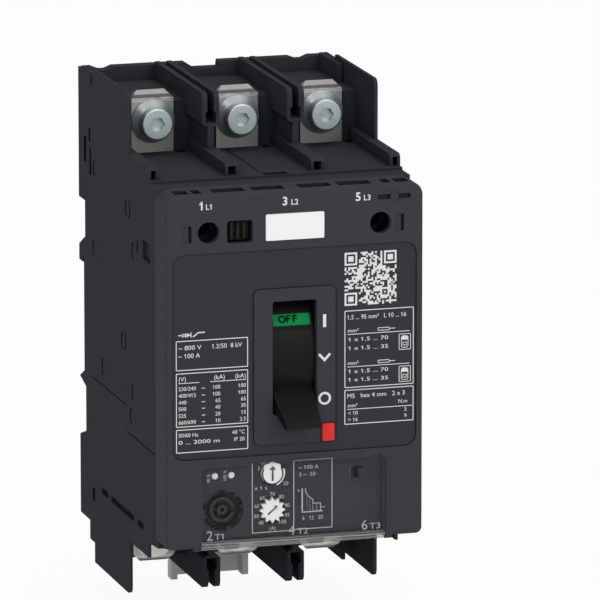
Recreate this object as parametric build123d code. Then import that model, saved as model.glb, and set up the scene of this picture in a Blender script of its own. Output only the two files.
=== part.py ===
from build123d import *
import math
import os
from dataclasses import dataclass

# Three-pole motor protection breaker, millimetres, +Z up, front towards -Y.
# The origin is the middle of the rear mounting plane. Depths are positive
# distances in front of that plane, so a depth d lies at Y = -d.

# ---------------------------------------------------------------- driving sizes
POLES = 3
CASE_WIDTH = 79.6
CASE_INSET = 0.7             # from the outer poles' half pitch to the case's sides
POLE_PITCH = (CASE_WIDTH + 2 * CASE_INSET) / POLES

CASE_FRONT = 92.0            # depth where the case ends and the front cover starts

COVER_WIDTH = 81.0
COVER_TOP = 56.2
COVER_BOTTOM = -53.2
FACE_DEPTH = 103.5           # depth of the cover's flat front
COVER_FRONT_WALL = 2.6
COVER_SIDE_WALL = 1.8
COVER_TOP_RADIUS = 4.0
COVER_BOTTOM_RADIUS = 2.0
COVER_EDGE_RADIUS = 1.0
COVER_CHIN_DROP = 2.0        # how far the underside falls from the front to the case
SHELF_STEP = 84.3            # depth where the line shelf drops to the cover's top

# Pockets in the cover's top edge, as distances from the middle on either side
TOP_POCKETS = ((2.2, 12.4), (14.6, 24.9), (28.3, 31.0), (32.3, 36.8))
TOP_POCKET_DEPTHS = (95.6, 101.2)
TOP_POCKET_SINK = 1.5

FIT_GAP = 0.15               # side gap of parts that drop into a recess
RUN_GAP = 0.4                # side gap of parts that move in an opening
SHAFT_GAP = 0.05             # radial gap of a turning shaft in its bore

# Line side (up) and load side (down)
LINE_SHELF = 57.0            # height of the flat shelf in front of the terminals
LOAD_SHELF = 56.0
LINE_TIP = 78.2              # height of the barrier tips
LOAD_TIP = 77.8
SIDE_TIP_RISE = 1.4          # how far the side walls stand above the line barriers
LINE_REAR_TOP = 77.2
REAR_WALL = 4.0
BLOCK_HEIGHT = 15.5          # terminal block above the shelf
BLOCK_FRONT = 38.5           # depth of the block's face, where the pads sit
BARRIER_FRONT = 58.5         # depth of the barriers' front edges
BARRIER_WIDTH = 5.4
BARRIER_HEAD = 10.5          # height of the double-walled part of a barrier
BARRIER_WEB = 2.0
SLOT_WIDTH = 2.1
SLOT_POCKET_WIDTH = 3.3
SLOT_POCKET_HEIGHT = 3.5
SLOT_FLOOR = 1.0
BARRIER_SHOULDER = 0.9       # chamfer under the double-walled part
SIDE_WALL = 1.0
SIDE_WALL_REAR = 16.0        # depth where the tall part of a line side wall starts
SIDE_POST_FRONT = 25.0       # inner post beside the line side wall, behind a narrow slit
SIDE_POST_WALL = 1.3
SIDE_POST_SLIT = 0.3
TIP_RADIUS = 2.2
RIB_HEIGHT = 3.8
RIB_WIDTH = 4.2
RIB_FRONT = 82.0
RIB_WALL = 0.9
RIB_HOLE_DEPTH = 9.0
RIB_HOLE_FLOOR = 0.1
FIN_WALL = 0.9               # thin fins along the load shelf's outer edges
FIN_HEIGHT = 4.8
FIN_FRONT = 80.6
GUIDE_GAP = 0.8              # from the outer load pads to the guides beside them
GUIDE_WALL = 1.1
GUIDE_REACH = 5.6            # how far the guides stand past the terminal block

# Notches in the top edge of the rear wall: centre, width, left slope, right slope, depth
REAR_NOTCHES = (
    (-32.6, 1.8, 2.3, 2.3, 0.9),
    (0.6, 7.7, 2.9, 0.2, 1.9),
    (31.0, 1.8, 2.3, 2.3, 0.9),
)

# Floor details of the line shelf
FLOOR_GROOVE_X = -4.1
FLOOR_GROOVE_WIDTH = 0.5
FLOOR_GROOVE_DEPTHS = (41.5, 79.5)
FLOOR_GROOVE_SINK = 0.4
FLOOR_SLOT_WIDTH = 7.6
FLOOR_SLOT_DEPTHS = (80.3, 83.8)
FLOOR_SLOT_SINK = 2.0
FLOOR_POCKET_GAP = 0.8       # from the pad's side to the pocket beside it
FLOOR_POCKET_WIDTH = 2.8
FLOOR_POCKET_LENGTH = 4.5
FLOOR_POCKET_SINK = 3.0

# Seam between the breaker case and the trip unit case
SEAM_REAR = -18.5
SEAM_FRONT = -26.6
SEAM_STEP = 56.0             # depth where the seam steps down
SEAM_GAP = 0.1

# Rear face with the recess for a 35 mm rail
RAIL_HEIGHT = 35.0
RAIL_THICKNESS = 1.0
RAIL_SEAT = 5.6              # depth of the face that the rail bears on
RAIL_PLAY = 0.4
LIP_REACH = 2.0              # how far the fixed lip overlaps the rail's flange
LIP_HEIGHT = 5.0
REAR_RECESS = 7.3
LINE_FOOT_LOW = 36.0
LOAD_FOOT_TOP = -40.1
LOAD_FOOT_LOW = -65.5
LOAD_REAR_STEP = 11.3
LOAD_BARRIER_REAR = 17.0

# Fixing holes through the case
FIXING_PITCH = 54.0
FIXING_HEIGHT = 44.4
FIXING_DIAMETER = 4.6
FIXING_ACCESS_DIAMETER = 6.7
FIXING_SEAT = 10.0           # depth of the shoulder under the screw's head

# Handle
PIVOT_DEPTH = 76.0
PIVOT_HEIGHT = 4.4
PIN_DIAMETER = 4.0
PIN_OVERHANG = 5.0
DRUM_RADIUS = 26.0
DRUM_WALL = 2.6
DRUM_WIDTH = 13.3
DRUM_SPAN = 75.0             # half angle of the drum either side of the lever
DRUM_GAP = 0.6
HUB_RADIUS = 4.6
HANDLE_WEB = 2.4
OFF_ANGLE = 28.0             # lever below the horizontal when off
LEVER_REACH = 41.6
LEVER_ROOT = 5.2
LEVER_TIP = 2.2
LEVER_TIP_WIDTH = 11.0
FLAG_OFFSET = 51.8           # angle from the lever to the middle of each flag
FLAG_SPAN = 9.8
FLAG_WIDTH = 11.6
FLAG_THICKNESS = 0.4
OPENING_WIDTH = 14.0
OPENING_HEIGHT = 35.2
OPENING_RADIUS = 0.8

# Rating panel and raised frame round the handle
PANEL_WIDTH = 77.0
PANEL_TOP = 38.1
PANEL_BOTTOM = -25.5
PANEL_RADIUS = 3.8
PANEL_SINK = 0.5
PANEL_THICKNESS = 0.8
FRAME_WIDTH = 25.7
FRAME_TOP = 25.9
FRAME_BOTTOM = -22.2
FRAME_RADIUS = 2.0

# Trip button
BUTTON_WIDTH = 3.9
BUTTON_HEIGHT = 5.4
BUTTON_CENTRE_X = 10.35
BUTTON_CENTRE_Z = -19.3
BUTTON_PROUD = 1.0
BUTTON_CORNER = 0.5
BUTTON_EDGE = 0.35
BUTTON_TRAVEL = 2.5
BUTTON_FLANGE = 0.6
BUTTON_FLANGE_THICKNESS = 1.2
BUTTON_STEM_DIAMETER = 2.6
BUTTON_STEM_LENGTH = 12.0

# Identification label, selector window and marks in the top band
LABEL_WIDTH = 18.3
LABEL_HEIGHT = 8.1
LABEL_CENTRE_Z = 45.0
LABEL_THICKNESS = 0.8
LABEL_SINK = 0.4
LABEL_CORNER = 0.4
SELECTOR_WIDTH = 8.2
SELECTOR_HEIGHT = 7.0
SELECTOR_CENTRE_X = -17.2
SELECTOR_CENTRE_Z = 44.2
SELECTOR_RADIUS = 1.2
SELECTOR_FRONT_GAP = 1.0     # from the cover's face back to the insert's rim
SELECTOR_DEPTH = 3.2
SELECTOR_RIBS = 3
SELECTOR_RIB_WIDTH = 0.8
SELECTOR_RIB_SET_BACK = 1.6
NOTCH_CENTRES_X = (-32.8, 33.9)    # pry notches beside the fixing holes
NOTCH_CENTRE_Z = 44.2
NOTCH_HEIGHT = 5.2
NOTCH_WIDTH = 0.9
NOTCH_SINK = 1.4
NOTCH_FIELD_WIDTH = 1.6      # shallow field beside the notch
NOTCH_FIELD_SINK = 0.3
TRACK_LENGTH = 10.6          # slide mark at the top right
TRACK_WIDTH = 1.5
TRACK_CENTRE = (31.3, 52.3)
TRACK_SINK = 1.2
TRACK_KNOB_RADIUS = 1.3
TRACK_KNOB_PROUD = 0.3

# Trip unit window, its hinged transparent cover and the setting face
WINDOW_WIDTH = 58.5
WINDOW_CENTRE_X = -0.35
WINDOW_LEFT = WINDOW_CENTRE_X - WINDOW_WIDTH / 2
WINDOW_RIGHT = WINDOW_CENTRE_X + WINDOW_WIDTH / 2
WINDOW_TOP = -27.6
WINDOW_RADIUS = 2.5
FLAP_GAP = 0.3
FLAP_THICKNESS = 1.3
FLAP_SET_BACK = 0.1          # from the cover's face back to the flap's
FLAP_AXIS_DEPTH = 101.9
FLAP_AXIS_HEIGHT = -52.8
FLAP_BARREL_RADIUS = 1.3
FLAP_PIN_RADIUS = 0.7
FLAP_PIN_LENGTH = 1.6
LUG_RADIUS = 1.5
LUG_THICKNESS = 2.0
FACE_PLATE_DEPTH = 100.8
FACE_PLATE_MARGIN = 1.8
FACE_PLATE_BOTTOM = -51.1

DIAL_OFFSET = 6.15           # from the window's middle to the dials
DIAL_CENTRE_X = WINDOW_CENTRE_X - DIAL_OFFSET
CLASS_DIAL_Z = -31.8
CLASS_DIAL_RADIUS = 3.4
CLASS_DIAL_ANGLE = 0         # where the arrow points, clockwise from the top
CURRENT_DIAL_Z = -43.2
CURRENT_DIAL_RADIUS = 4.1
CURRENT_DIAL_ROOT = 2.9
CURRENT_DIAL_TEETH = 12
CURRENT_DIAL_ANGLE = 50
DIAL_HEIGHT = 0.9
DIAL_SEAT_DEPTH = 0.6
DIAL_SHAFT_RADIUS = 1.5
DIAL_SHAFT_LENGTH = 5.0
SETTING_SLOT_WIDTH = 0.6
SETTING_SLOT_DEPTH = 0.45

SOCKET_INSET = 7.6           # from the window's left side to the socket's middle
SOCKET_CENTRE_X = WINDOW_LEFT + SOCKET_INSET
SOCKET_CENTRE_Z = -42.3
SOCKET_RADIUS = 6.5
SOCKET_DEPTH = 4.2
SOCKET_FLOOR = 1.0
SOCKET_RING_WALL = 0.9
SOCKET_RING_SET_BACK = 0.4   # from the setting face back to the outer ring
SOCKET_GAP_COUNT = 5
SOCKET_GAP_WIDTH = 2.2
SOCKET_GAP_TURN = 20
SOCKET_INNER_RADIUS = 3.9
SOCKET_INNER_SET_BACK = 0.8
SOCKET_KEY_WIDTH = 1.8
SOCKET_HUB_RADIUS = 1.5
SOCKET_PIN_COUNT = 3
SOCKET_PIN_RADIUS = 0.3
SOCKET_PIN_SET_BACK = 1.4
SOCKET_PIN_TURN = 100
SOCKET_PIN_STEP = 70

LED_RADIUS = 1.0
LED_INSET = 5.1              # from the window's left side to the first lamp
LED_PITCH = 5.2
LED_CENTRES_X = (WINDOW_LEFT + LED_INSET, WINDOW_LEFT + LED_INSET + LED_PITCH)
LED_CENTRE_Z = -31.5
LED_LENGTH = 4.0
LED_PROUD = 0.5
LED_DOME = 0.45

SEAL_INSET = 8.3             # from the window's right side to the seal eye
SEAL_CENTRE_X = WINDOW_RIGHT - SEAL_INSET
SEAL_CENTRE_Z = -32.8
SEAL_WIDTH = 1.8
SEAL_HEIGHT = 3.2
SEAL_PROUD = 0.9
SEAL_EYE_RADIUS = 0.4
SEAL_EYE_SET_BACK = 0.4      # from the eye's front to the wire hole's edge
SEAL_SLOT_EXTRA = 1.6        # how much longer the flap's slot is than the eye
SEAL_SLOT_CORNER = 0.4

# Terminals
PAD_MARGIN = 4.1             # from the barrier to the pad's side
PAD_WIDTH = POLE_PITCH - BARRIER_WIDTH - 2 * PAD_MARGIN
PAD_THICKNESS = 2.0
LINE_PAD_RISE = 1.2          # how far the flat part of the pad reaches past the block
LOAD_PAD_RISE = -0.3
LINE_PAD_LIP = 3.6           # bent-back end of the pad
LOAD_PAD_LIP = 2.0
PAD_LIP_ANGLE = 45.0
PAD_CORNER = 2.4
PAD_HOLE_DIAMETER = 5.6
LINE_SCREW_HEIGHT = 9.8      # screw axis above the shelf
LOAD_SCREW_HEIGHT = 8.3
SCREW_DIAMETER = 5.0
SCREW_LENGTH = 14.0
SCREW_HEAD_DIAMETER = 9.8
SCREW_HEAD_HEIGHT = 3.6
SCREW_HEAD_EDGE = 0.5
SCREW_SOCKET_FLATS = 4.0
SCREW_SOCKET_DEPTH = 2.0
WASHER_DIAMETER = 13.6
WASHER_CROWN_DIAMETER = 7.6
WASHER_RIM = 0.7
WASHER_HEIGHT = 2.6
WASHER_BORE = 5.4

# Rail clip
CLIP_WIDTH = 25.2
CLIP_THICKNESS = 4.4         # over the legs
CLIP_WEB = 1.6               # plate between the legs
CLIP_DEPTH = 4.0             # depth of the clip's rear face
CLIP_BOTTOM = -86.8
CLIP_LEG = 0.8               # how far the legs reach below the plate
CLIP_LEG_WIDTH = 2.0
CLIP_NOSE_REACH = 1.6        # how far the nose overlaps the rail's flange
CLIP_NOSE_SLOPE = 0.8
CLIP_NOSE_THICKNESS = 3.2
CLIP_NOSE_HEIGHT = 3.0
CLIP_SLOT_WIDTH = 8.0
CLIP_SLOT_HEIGHT = 2.6
CLIP_SLOT_RISE = 4.0
CLIP_SLOT_CORNER = 0.6

# Side marks of the mouldings
LATCH_WINDOW_DEPTHS = (75.0, 84.0)
LATCH_WINDOW_HEIGHTS = (31.5, 37.5)
LATCH_WINDOW_SINK = 1.2
VENT_HEIGHTS = (-53.6, -51.4)
VENT_DEPTHS = ((26.0, 33.5), (37.0, 64.0), (68.0, 74.7))
VENT_SINK = 1.4


# ---------------------------------------------------------------- small helpers
def span(width, centre=0.0):
    """Low and high limits of a width about a centre."""
    return centre - width / 2, centre + width / 2


def depths(back, front):
    """Y limits between two depths."""
    return -front, -back


def between(x, y, z):
    """Box between three (low, high) pairs."""
    middle = [(low + high) / 2 for low, high in (x, y, z)]
    size = [high - low for low, high in (x, y, z)]
    return Pos(*middle) * Box(*size)


def prism(outline, x):
    """Prism along X with an outline of (Y, Z) points."""
    face = Plane.YZ * make_face(Polyline(*outline, close=True))
    return Pos(x[0], 0, 0) * extrude(face, x[1] - x[0], dir=(1, 0, 0))


def across(sketch, x):
    """Solid of a sketch in Y and Z between two X limits."""
    return Pos(x[0], 0, 0) * extrude(Plane.YZ * sketch, x[1] - x[0], dir=(1, 0, 0))


def slab(sketch, back, front):
    """Solid of a sketch in X and Z, from depth back to depth front."""
    return extrude(Plane.XZ.offset(back) * sketch, front - back, dir=(0, -1, 0))


def rod(x, z, radius, back, front):
    """Round bar along Y between two depths."""
    return slab(Pos(x, z) * Circle(radius), back, front)


def tablet(x, z, radius=None):
    """Rectangle sketch between X and Z limits, with rounded corners if wanted."""
    middle = Pos((x[0] + x[1]) / 2, (z[0] + z[1]) / 2)
    width = x[1] - x[0]
    height = z[1] - z[0]
    if radius:
        return middle * RectangleRounded(width, height, radius)
    return middle * Rectangle(width, height)


def cross_bar(radius, x, depth, height):
    """Round bar along X."""
    return Pos((x[0] + x[1]) / 2, -depth, height) * Rot(Y=90) * Cylinder(radius, x[1] - x[0])


def pole_centres():
    """X of each pole, from left to right."""
    return [(index - (POLES - 1) / 2) * POLE_PITCH for index in range(POLES)]


def barrier_centres():
    """X of each barrier between two poles."""
    return [left + POLE_PITCH / 2 for left in pole_centres()[:-1]]


def fixing_centres():
    """X of the fixing screws."""
    return span(FIXING_PITCH)


@dataclass(frozen=True)
class TerminalEnd:
    """One end of the breaker: the line end points up, the load end down."""

    name: str
    sign: int
    shelf: float
    tip: float
    barrier_rear: float
    screw: float
    pad_rise: float
    lip: float

    def heights(self, low, high):
        """Z limits of two distances from mid-height towards this end."""
        pair = (self.sign * low, self.sign * high)
        return min(pair), max(pair)

    def screw_height(self):
        """Height of the terminal screws' axes."""
        return self.sign * (self.shelf + self.screw)


LINE = TerminalEnd(
    name="line",
    sign=1,
    shelf=LINE_SHELF,
    tip=LINE_TIP,
    barrier_rear=REAR_WALL,
    screw=LINE_SCREW_HEIGHT,
    pad_rise=LINE_PAD_RISE,
    lip=LINE_PAD_LIP,
)
LOAD = TerminalEnd(
    name="load",
    sign=-1,
    shelf=LOAD_SHELF,
    tip=LOAD_TIP,
    barrier_rear=LOAD_BARRIER_REAR,
    screw=LOAD_SCREW_HEIGHT,
    pad_rise=LOAD_PAD_RISE,
    lip=LOAD_PAD_LIP,
)


# ---------------------------------------------------------------- terminal ends
def barrier_plate(end, x, low, rear, tip):
    """Flat barrier plate between two X limits, with a rounded front tip."""
    corners = [(-rear, end.sign * low), (-rear, end.sign * tip)]
    corners += [(-BARRIER_FRONT, end.sign * tip), (-BARRIER_FRONT, end.sign * low)]
    face = make_face(Polyline(*corners, close=True))
    front_tip = min(face.vertices(), key=lambda v: (round(v.X, 3), -end.sign * v.Y))
    return across(fillet(front_tip, TIP_RADIUS), x)


def pole_barrier(end, centre):
    """Barrier between two poles: a web that carries a double wall with a T-shaped slot."""
    head_low = end.tip - BARRIER_HEAD
    head = barrier_plate(end, span(BARRIER_WIDTH, centre), head_low, end.barrier_rear, end.tip)
    for side in (-1, 1):
        corner = centre + side * BARRIER_WIDTH / 2
        cut = make_face(Polyline(
            (corner, end.sign * head_low),
            (corner, end.sign * (head_low + BARRIER_SHOULDER)),
            (corner - side * BARRIER_SHOULDER, end.sign * head_low),
            close=True,
        ))
        head -= slab(cut, BLOCK_FRONT, BARRIER_FRONT)
    web_depths = depths(BLOCK_FRONT, BARRIER_FRONT)
    web = between(span(BARRIER_WEB, centre), web_depths, end.heights(end.shelf, head_low))
    pocket_low = head_low + SLOT_FLOOR
    pocket_high = pocket_low + SLOT_POCKET_HEIGHT
    reach = depths(end.barrier_rear, BARRIER_FRONT + SLOT_WIDTH)
    pocket_heights = end.heights(pocket_low, pocket_high)
    pocket = between(span(SLOT_POCKET_WIDTH, centre), reach, pocket_heights)
    slot_heights = end.heights(pocket_low, end.tip + SLOT_WIDTH)
    slot = between(span(SLOT_WIDTH, centre), reach, slot_heights)
    return head + web - pocket - slot


def side_walls(end):
    """Thin outer walls; at the line end they rise behind a slit beside a rear post."""
    half = CASE_WIDTH / 2
    walls = []
    for side in (-1, 1):
        x = sorted((side * half, side * (half - SIDE_WALL)))
        if end is LOAD:
            walls.append(barrier_plate(end, x, end.shelf, end.barrier_rear, end.tip))
            continue
        walls.append(between(x, depths(end.barrier_rear, SIDE_WALL_REAR), (end.shelf, end.tip)))
        walls.append(barrier_plate(end, x, end.shelf, SIDE_WALL_REAR, end.tip + SIDE_TIP_RISE))
        post = half - SIDE_WALL - SIDE_POST_SLIT
        x = sorted((side * post, side * (post - SIDE_POST_WALL)))
        walls.append(between(x, depths(end.barrier_rear, SIDE_POST_FRONT), (end.shelf, end.tip)))
    return walls


def shelf_rib(end, x, hole):
    """Low rib along the shelf with a slot in its front end."""
    top = end.shelf + RIB_HEIGHT
    outline = [
        (-BLOCK_FRONT, end.sign * end.shelf),
        (-BLOCK_FRONT, end.sign * top),
        (-RIB_FRONT + RIB_WALL, end.sign * top),
        (-RIB_FRONT, end.sign * (top - RIB_WALL)),
        (-RIB_FRONT, end.sign * end.shelf),
    ]
    rib = prism(outline, x)
    hole_heights = end.heights(end.shelf + RIB_HOLE_FLOOR, top - RIB_WALL)
    hole_depths = depths(RIB_FRONT - RIB_HOLE_DEPTH, RIB_FRONT)
    return rib - between(hole, hole_depths, hole_heights)


def load_fins():
    """Fins along the load shelf's outer edges and guides outside its outer pads."""
    half = CASE_WIDTH / 2
    guide = POLE_PITCH * (POLES - 1) / 2 + PAD_WIDTH / 2 + GUIDE_GAP
    guide_tip = LOAD_SHELF + BLOCK_HEIGHT + GUIDE_REACH
    fins = []
    for side in (-1, 1):
        fin_x = sorted((side * half, side * (half - FIN_WALL)))
        fin_z = LOAD.heights(LOAD_SHELF, LOAD_SHELF + FIN_HEIGHT)
        fins.append(between(fin_x, depths(BLOCK_FRONT, FIN_FRONT), fin_z))
        guide_x = sorted((side * guide, side * (guide + GUIDE_WALL)))
        guide_z = LOAD.heights(LOAD_SHELF, guide_tip)
        fins.append(between(guide_x, depths(LOAD_BARRIER_REAR, BLOCK_FRONT), guide_z))
    return fins


def terminal_walls(end):
    """Barriers, side walls and ribs of one end."""
    half = CASE_WIDTH / 2
    walls = side_walls(end)
    if end is LOAD:
        walls += load_fins()
    else:
        for side in (-1, 1):
            rib = sorted((side * half, side * (half - RIB_WIDTH + RIB_WALL)))
            walls.append(shelf_rib(end, rib, (rib[0] + RIB_WALL, rib[1] - RIB_WALL)))
    for centre in barrier_centres():
        walls.append(pole_barrier(end, centre))
        hole = span(RIB_WIDTH - 2 * RIB_WALL, centre)
        walls.append(shelf_rib(end, span(RIB_WIDTH, centre), hole))
    return walls


def screw_bores(end):
    """Bores in the terminal block for the terminal screws."""
    back = BLOCK_FRONT + PAD_THICKNESS - SCREW_LENGTH
    height = end.screw_height()
    return [rod(x, height, SCREW_DIAMETER / 2, back, BLOCK_FRONT) for x in pole_centres()]


def floor_cuts():
    """Groove, slot and small pockets in the floor of the line shelf."""
    cuts = []
    groove = (LINE_SHELF - FLOOR_GROOVE_SINK, LINE_SHELF)
    cuts.append(between(span(FLOOR_GROOVE_WIDTH, FLOOR_GROOVE_X), depths(*FLOOR_GROOVE_DEPTHS), groove))
    slot = (LINE_SHELF - FLOOR_SLOT_SINK, LINE_SHELF)
    cuts.append(between(span(FLOOR_SLOT_WIDTH), depths(*FLOOR_SLOT_DEPTHS), slot))
    pocket = (LINE_SHELF - FLOOR_POCKET_SINK, LINE_SHELF)
    reach = depths(BLOCK_FRONT, BLOCK_FRONT + FLOOR_POCKET_LENGTH)
    offset = (PAD_WIDTH + FLOOR_POCKET_WIDTH) / 2 + FLOOR_POCKET_GAP
    for x in pole_centres():
        cuts.append(between(span(FLOOR_POCKET_WIDTH, x + offset), reach, pocket))
    return cuts


# ---------------------------------------------------------------- the two cases
def rail_lip_outline():
    """Rear outline of the breaker case from the seam up to the top, as (Y, Z) points."""
    flange_top = RAIL_HEIGHT / 2 + RAIL_PLAY
    lip_front = -(RAIL_SEAT - RAIL_THICKNESS - RAIL_PLAY)
    lip_low = flange_top - LIP_REACH
    lip_top = lip_low + LIP_HEIGHT
    slope_top = lip_top + REAR_RECESS - RAIL_SEAT + LIP_REACH
    return [
        (-RAIL_SEAT, SEAM_REAR),
        (-RAIL_SEAT, flange_top),
        (lip_front, flange_top),
        (lip_front, lip_low),
        (0, lip_low),
        (0, lip_top),
        (-REAR_RECESS, slope_top),
        (-REAR_RECESS, LINE_FOOT_LOW),
        (0, LINE_FOOT_LOW),
        (0, LINE_REAR_TOP),
    ]


def make_breaker_case():
    """Upper moulding: line terminals, handle pocket and rail lip."""
    block_top = LINE_SHELF + BLOCK_HEIGHT
    outline = rail_lip_outline() + [
        (-REAR_WALL, LINE_REAR_TOP),
        (-REAR_WALL, block_top),
        (-BLOCK_FRONT, block_top),
        (-BLOCK_FRONT, LINE_SHELF),
        (-SHELF_STEP, LINE_SHELF),
        (-SHELF_STEP, COVER_TOP),
        (-CASE_FRONT, COVER_TOP),
        (-CASE_FRONT, SEAM_FRONT),
        (-SEAM_STEP, SEAM_FRONT),
        (-SEAM_STEP, SEAM_REAR),
    ]
    case = prism(outline, span(CASE_WIDTH))
    case += terminal_walls(LINE)
    case -= screw_bores(LINE)
    case -= floor_cuts()
    case -= rear_notches()
    case -= cross_bar(DRUM_RADIUS + DRUM_GAP, span(DRUM_WIDTH + 2 * RUN_GAP), PIVOT_DEPTH, PIVOT_HEIGHT)
    case -= cross_bar(PIN_DIAMETER / 2, span(DRUM_WIDTH + 2 * PIN_OVERHANG), PIVOT_DEPTH, PIVOT_HEIGHT)
    stem_back = FACE_DEPTH - COVER_FRONT_WALL - BUTTON_STEM_LENGTH - BUTTON_TRAVEL - 2 * RUN_GAP
    stem_radius = BUTTON_STEM_DIAMETER / 2 + SHAFT_GAP
    case -= rod(BUTTON_CENTRE_X, BUTTON_CENTRE_Z, stem_radius, stem_back, CASE_FRONT)
    for x in fixing_centres():
        case -= rod(x, FIXING_HEIGHT, FIXING_DIAMETER / 2, 0, CASE_FRONT)
        case -= rod(x, FIXING_HEIGHT, FIXING_ACCESS_DIAMETER / 2, FIXING_SEAT, CASE_FRONT)
    for side in (-1, 1):
        wall = sorted((side * CASE_WIDTH / 2, side * (CASE_WIDTH / 2 - LATCH_WINDOW_SINK)))
        case -= between(wall, depths(*LATCH_WINDOW_DEPTHS), LATCH_WINDOW_HEIGHTS)
    return case


def rear_notches():
    """Notches in the top edge of the rear wall."""
    notches = []
    for centre, width, left, right, sink in REAR_NOTCHES:
        corners = [
            (centre - width / 2 - left, LINE_REAR_TOP),
            (centre - width / 2, LINE_REAR_TOP - sink),
            (centre + width / 2, LINE_REAR_TOP - sink),
            (centre + width / 2 + right, LINE_REAR_TOP),
        ]
        notches.append(slab(make_face(Polyline(*corners, close=True)), 0, REAR_WALL))
    return notches


def make_trip_unit_case():
    """Lower moulding: load terminals, rear foot and the rail clip's guide."""
    seam = SEAM_GAP
    block_low = -(LOAD_SHELF + BLOCK_HEIGHT)
    ramp_tip = SEAM_REAR - RAIL_SEAT / 2
    chin = COVER_BOTTOM - COVER_CHIN_DROP
    outline = [
        (-RAIL_SEAT, SEAM_REAR - seam),
        (0, ramp_tip - seam),
        (-REAR_RECESS, ramp_tip - LIP_REACH),
        (-REAR_RECESS, LOAD_FOOT_TOP + REAR_RECESS / 3),
        (0, LOAD_FOOT_TOP),
        (0, LOAD_FOOT_LOW),
        (-LOAD_REAR_STEP, LOAD_FOOT_LOW),
        (-LOAD_REAR_STEP, block_low),
        (-BLOCK_FRONT, block_low),
        (-BLOCK_FRONT, -LOAD_SHELF),
        (-RIB_FRONT, -LOAD_SHELF),
        (-CASE_FRONT, chin),
        (-CASE_FRONT, SEAM_FRONT - seam),
        (-SEAM_STEP + seam, SEAM_FRONT - seam),
        (-SEAM_STEP + seam, SEAM_REAR - seam),
    ]
    case = prism(outline, span(CASE_WIDTH))
    case += terminal_walls(LOAD)
    case -= screw_bores(LOAD)
    guide_width = CLIP_WIDTH + 2 * RUN_GAP
    guide_depths = depths(CLIP_DEPTH - RUN_GAP, CLIP_DEPTH + CLIP_THICKNESS + RUN_GAP)
    case -= between(span(guide_width), guide_depths, (LOAD_FOOT_LOW, SEAM_REAR))
    nose_room = depths(0, CLIP_DEPTH + CLIP_THICKNESS)
    case -= between(span(guide_width), nose_room, (LOAD_FOOT_TOP + REAR_RECESS / 3, SEAM_REAR))
    for side in (-1, 1):
        wall = sorted((side * CASE_WIDTH / 2, side * (CASE_WIDTH / 2 - VENT_SINK)))
        for pair in VENT_DEPTHS:
            case -= between(wall, depths(*pair), VENT_HEIGHTS)
    return case


# ---------------------------------------------------------------- front cover
def opening_limits():
    """X and Z limits of the handle opening."""
    return span(OPENING_WIDTH), span(OPENING_HEIGHT, PIVOT_HEIGHT)


def button_limits(gap=0.0):
    """X and Z limits of the trip button, widened by a gap."""
    x = span(BUTTON_WIDTH + 2 * gap, BUTTON_CENTRE_X)
    z = span(BUTTON_HEIGHT + 2 * gap, BUTTON_CENTRE_Z)
    return x, z


def window_limits(gap=0.0):
    """X limits of the trip unit window, narrowed by a gap."""
    return span(WINDOW_WIDTH - 2 * gap, WINDOW_CENTRE_X)


def cover_shell():
    """Cover blank: rounded front edges, hollow at the back, with a sloping chin."""
    outline = Rectangle(COVER_WIDTH, COVER_TOP - COVER_BOTTOM)
    rows = outline.vertices().group_by(Axis.Y)
    outline = fillet(rows[-1], COVER_TOP_RADIUS)
    rows = outline.vertices().group_by(Axis.Y)
    outline = fillet(rows[0], COVER_BOTTOM_RADIUS)
    outline = Pos(0, (COVER_TOP + COVER_BOTTOM) / 2) * outline
    shell = slab(outline, CASE_FRONT, FACE_DEPTH)
    front = shell.edges().group_by(Axis.Y)[0]
    shell = fillet(front, COVER_EDGE_RADIUS)
    chin = [
        (-CASE_FRONT, COVER_BOTTOM),
        (-CASE_FRONT, COVER_BOTTOM - COVER_CHIN_DROP),
        (-FACE_DEPTH + COVER_EDGE_RADIUS, COVER_BOTTOM),
    ]
    shell += prism(chin, span(COVER_WIDTH - 2 * COVER_BOTTOM_RADIUS))
    wall = COVER_SIDE_WALL
    inside_x = span(COVER_WIDTH - 2 * wall)
    inside = tablet(inside_x, (COVER_BOTTOM + wall, COVER_TOP - wall), COVER_TOP_RADIUS - wall)
    return shell - slab(inside, CASE_FRONT, FACE_DEPTH - COVER_FRONT_WALL)


def panel_recess():
    """Sunk field for the rating panel, with the frame round the handle left standing."""
    field = tablet(span(PANEL_WIDTH), (PANEL_BOTTOM, PANEL_TOP), PANEL_RADIUS)
    frame = tablet(span(FRAME_WIDTH), (FRAME_BOTTOM, FRAME_TOP), FRAME_RADIUS)
    return slab(field - frame, FACE_DEPTH - PANEL_SINK - PANEL_THICKNESS, FACE_DEPTH)


def hinge_lugs():
    """Two lugs under the cover that carry the flap's pins."""
    lugs = []
    low, high = window_limits()
    for x in ((low - LUG_THICKNESS, low), (high, high + LUG_THICKNESS)):
        lug = cross_bar(LUG_RADIUS, x, FLAP_AXIS_DEPTH, FLAP_AXIS_HEIGHT)
        reach = depths(FLAP_AXIS_DEPTH - LUG_RADIUS, FACE_DEPTH)
        root = between(x, reach, (FLAP_AXIS_HEIGHT, COVER_BOTTOM + COVER_SIDE_WALL))
        lugs.append(lug + root)
    return lugs


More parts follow.
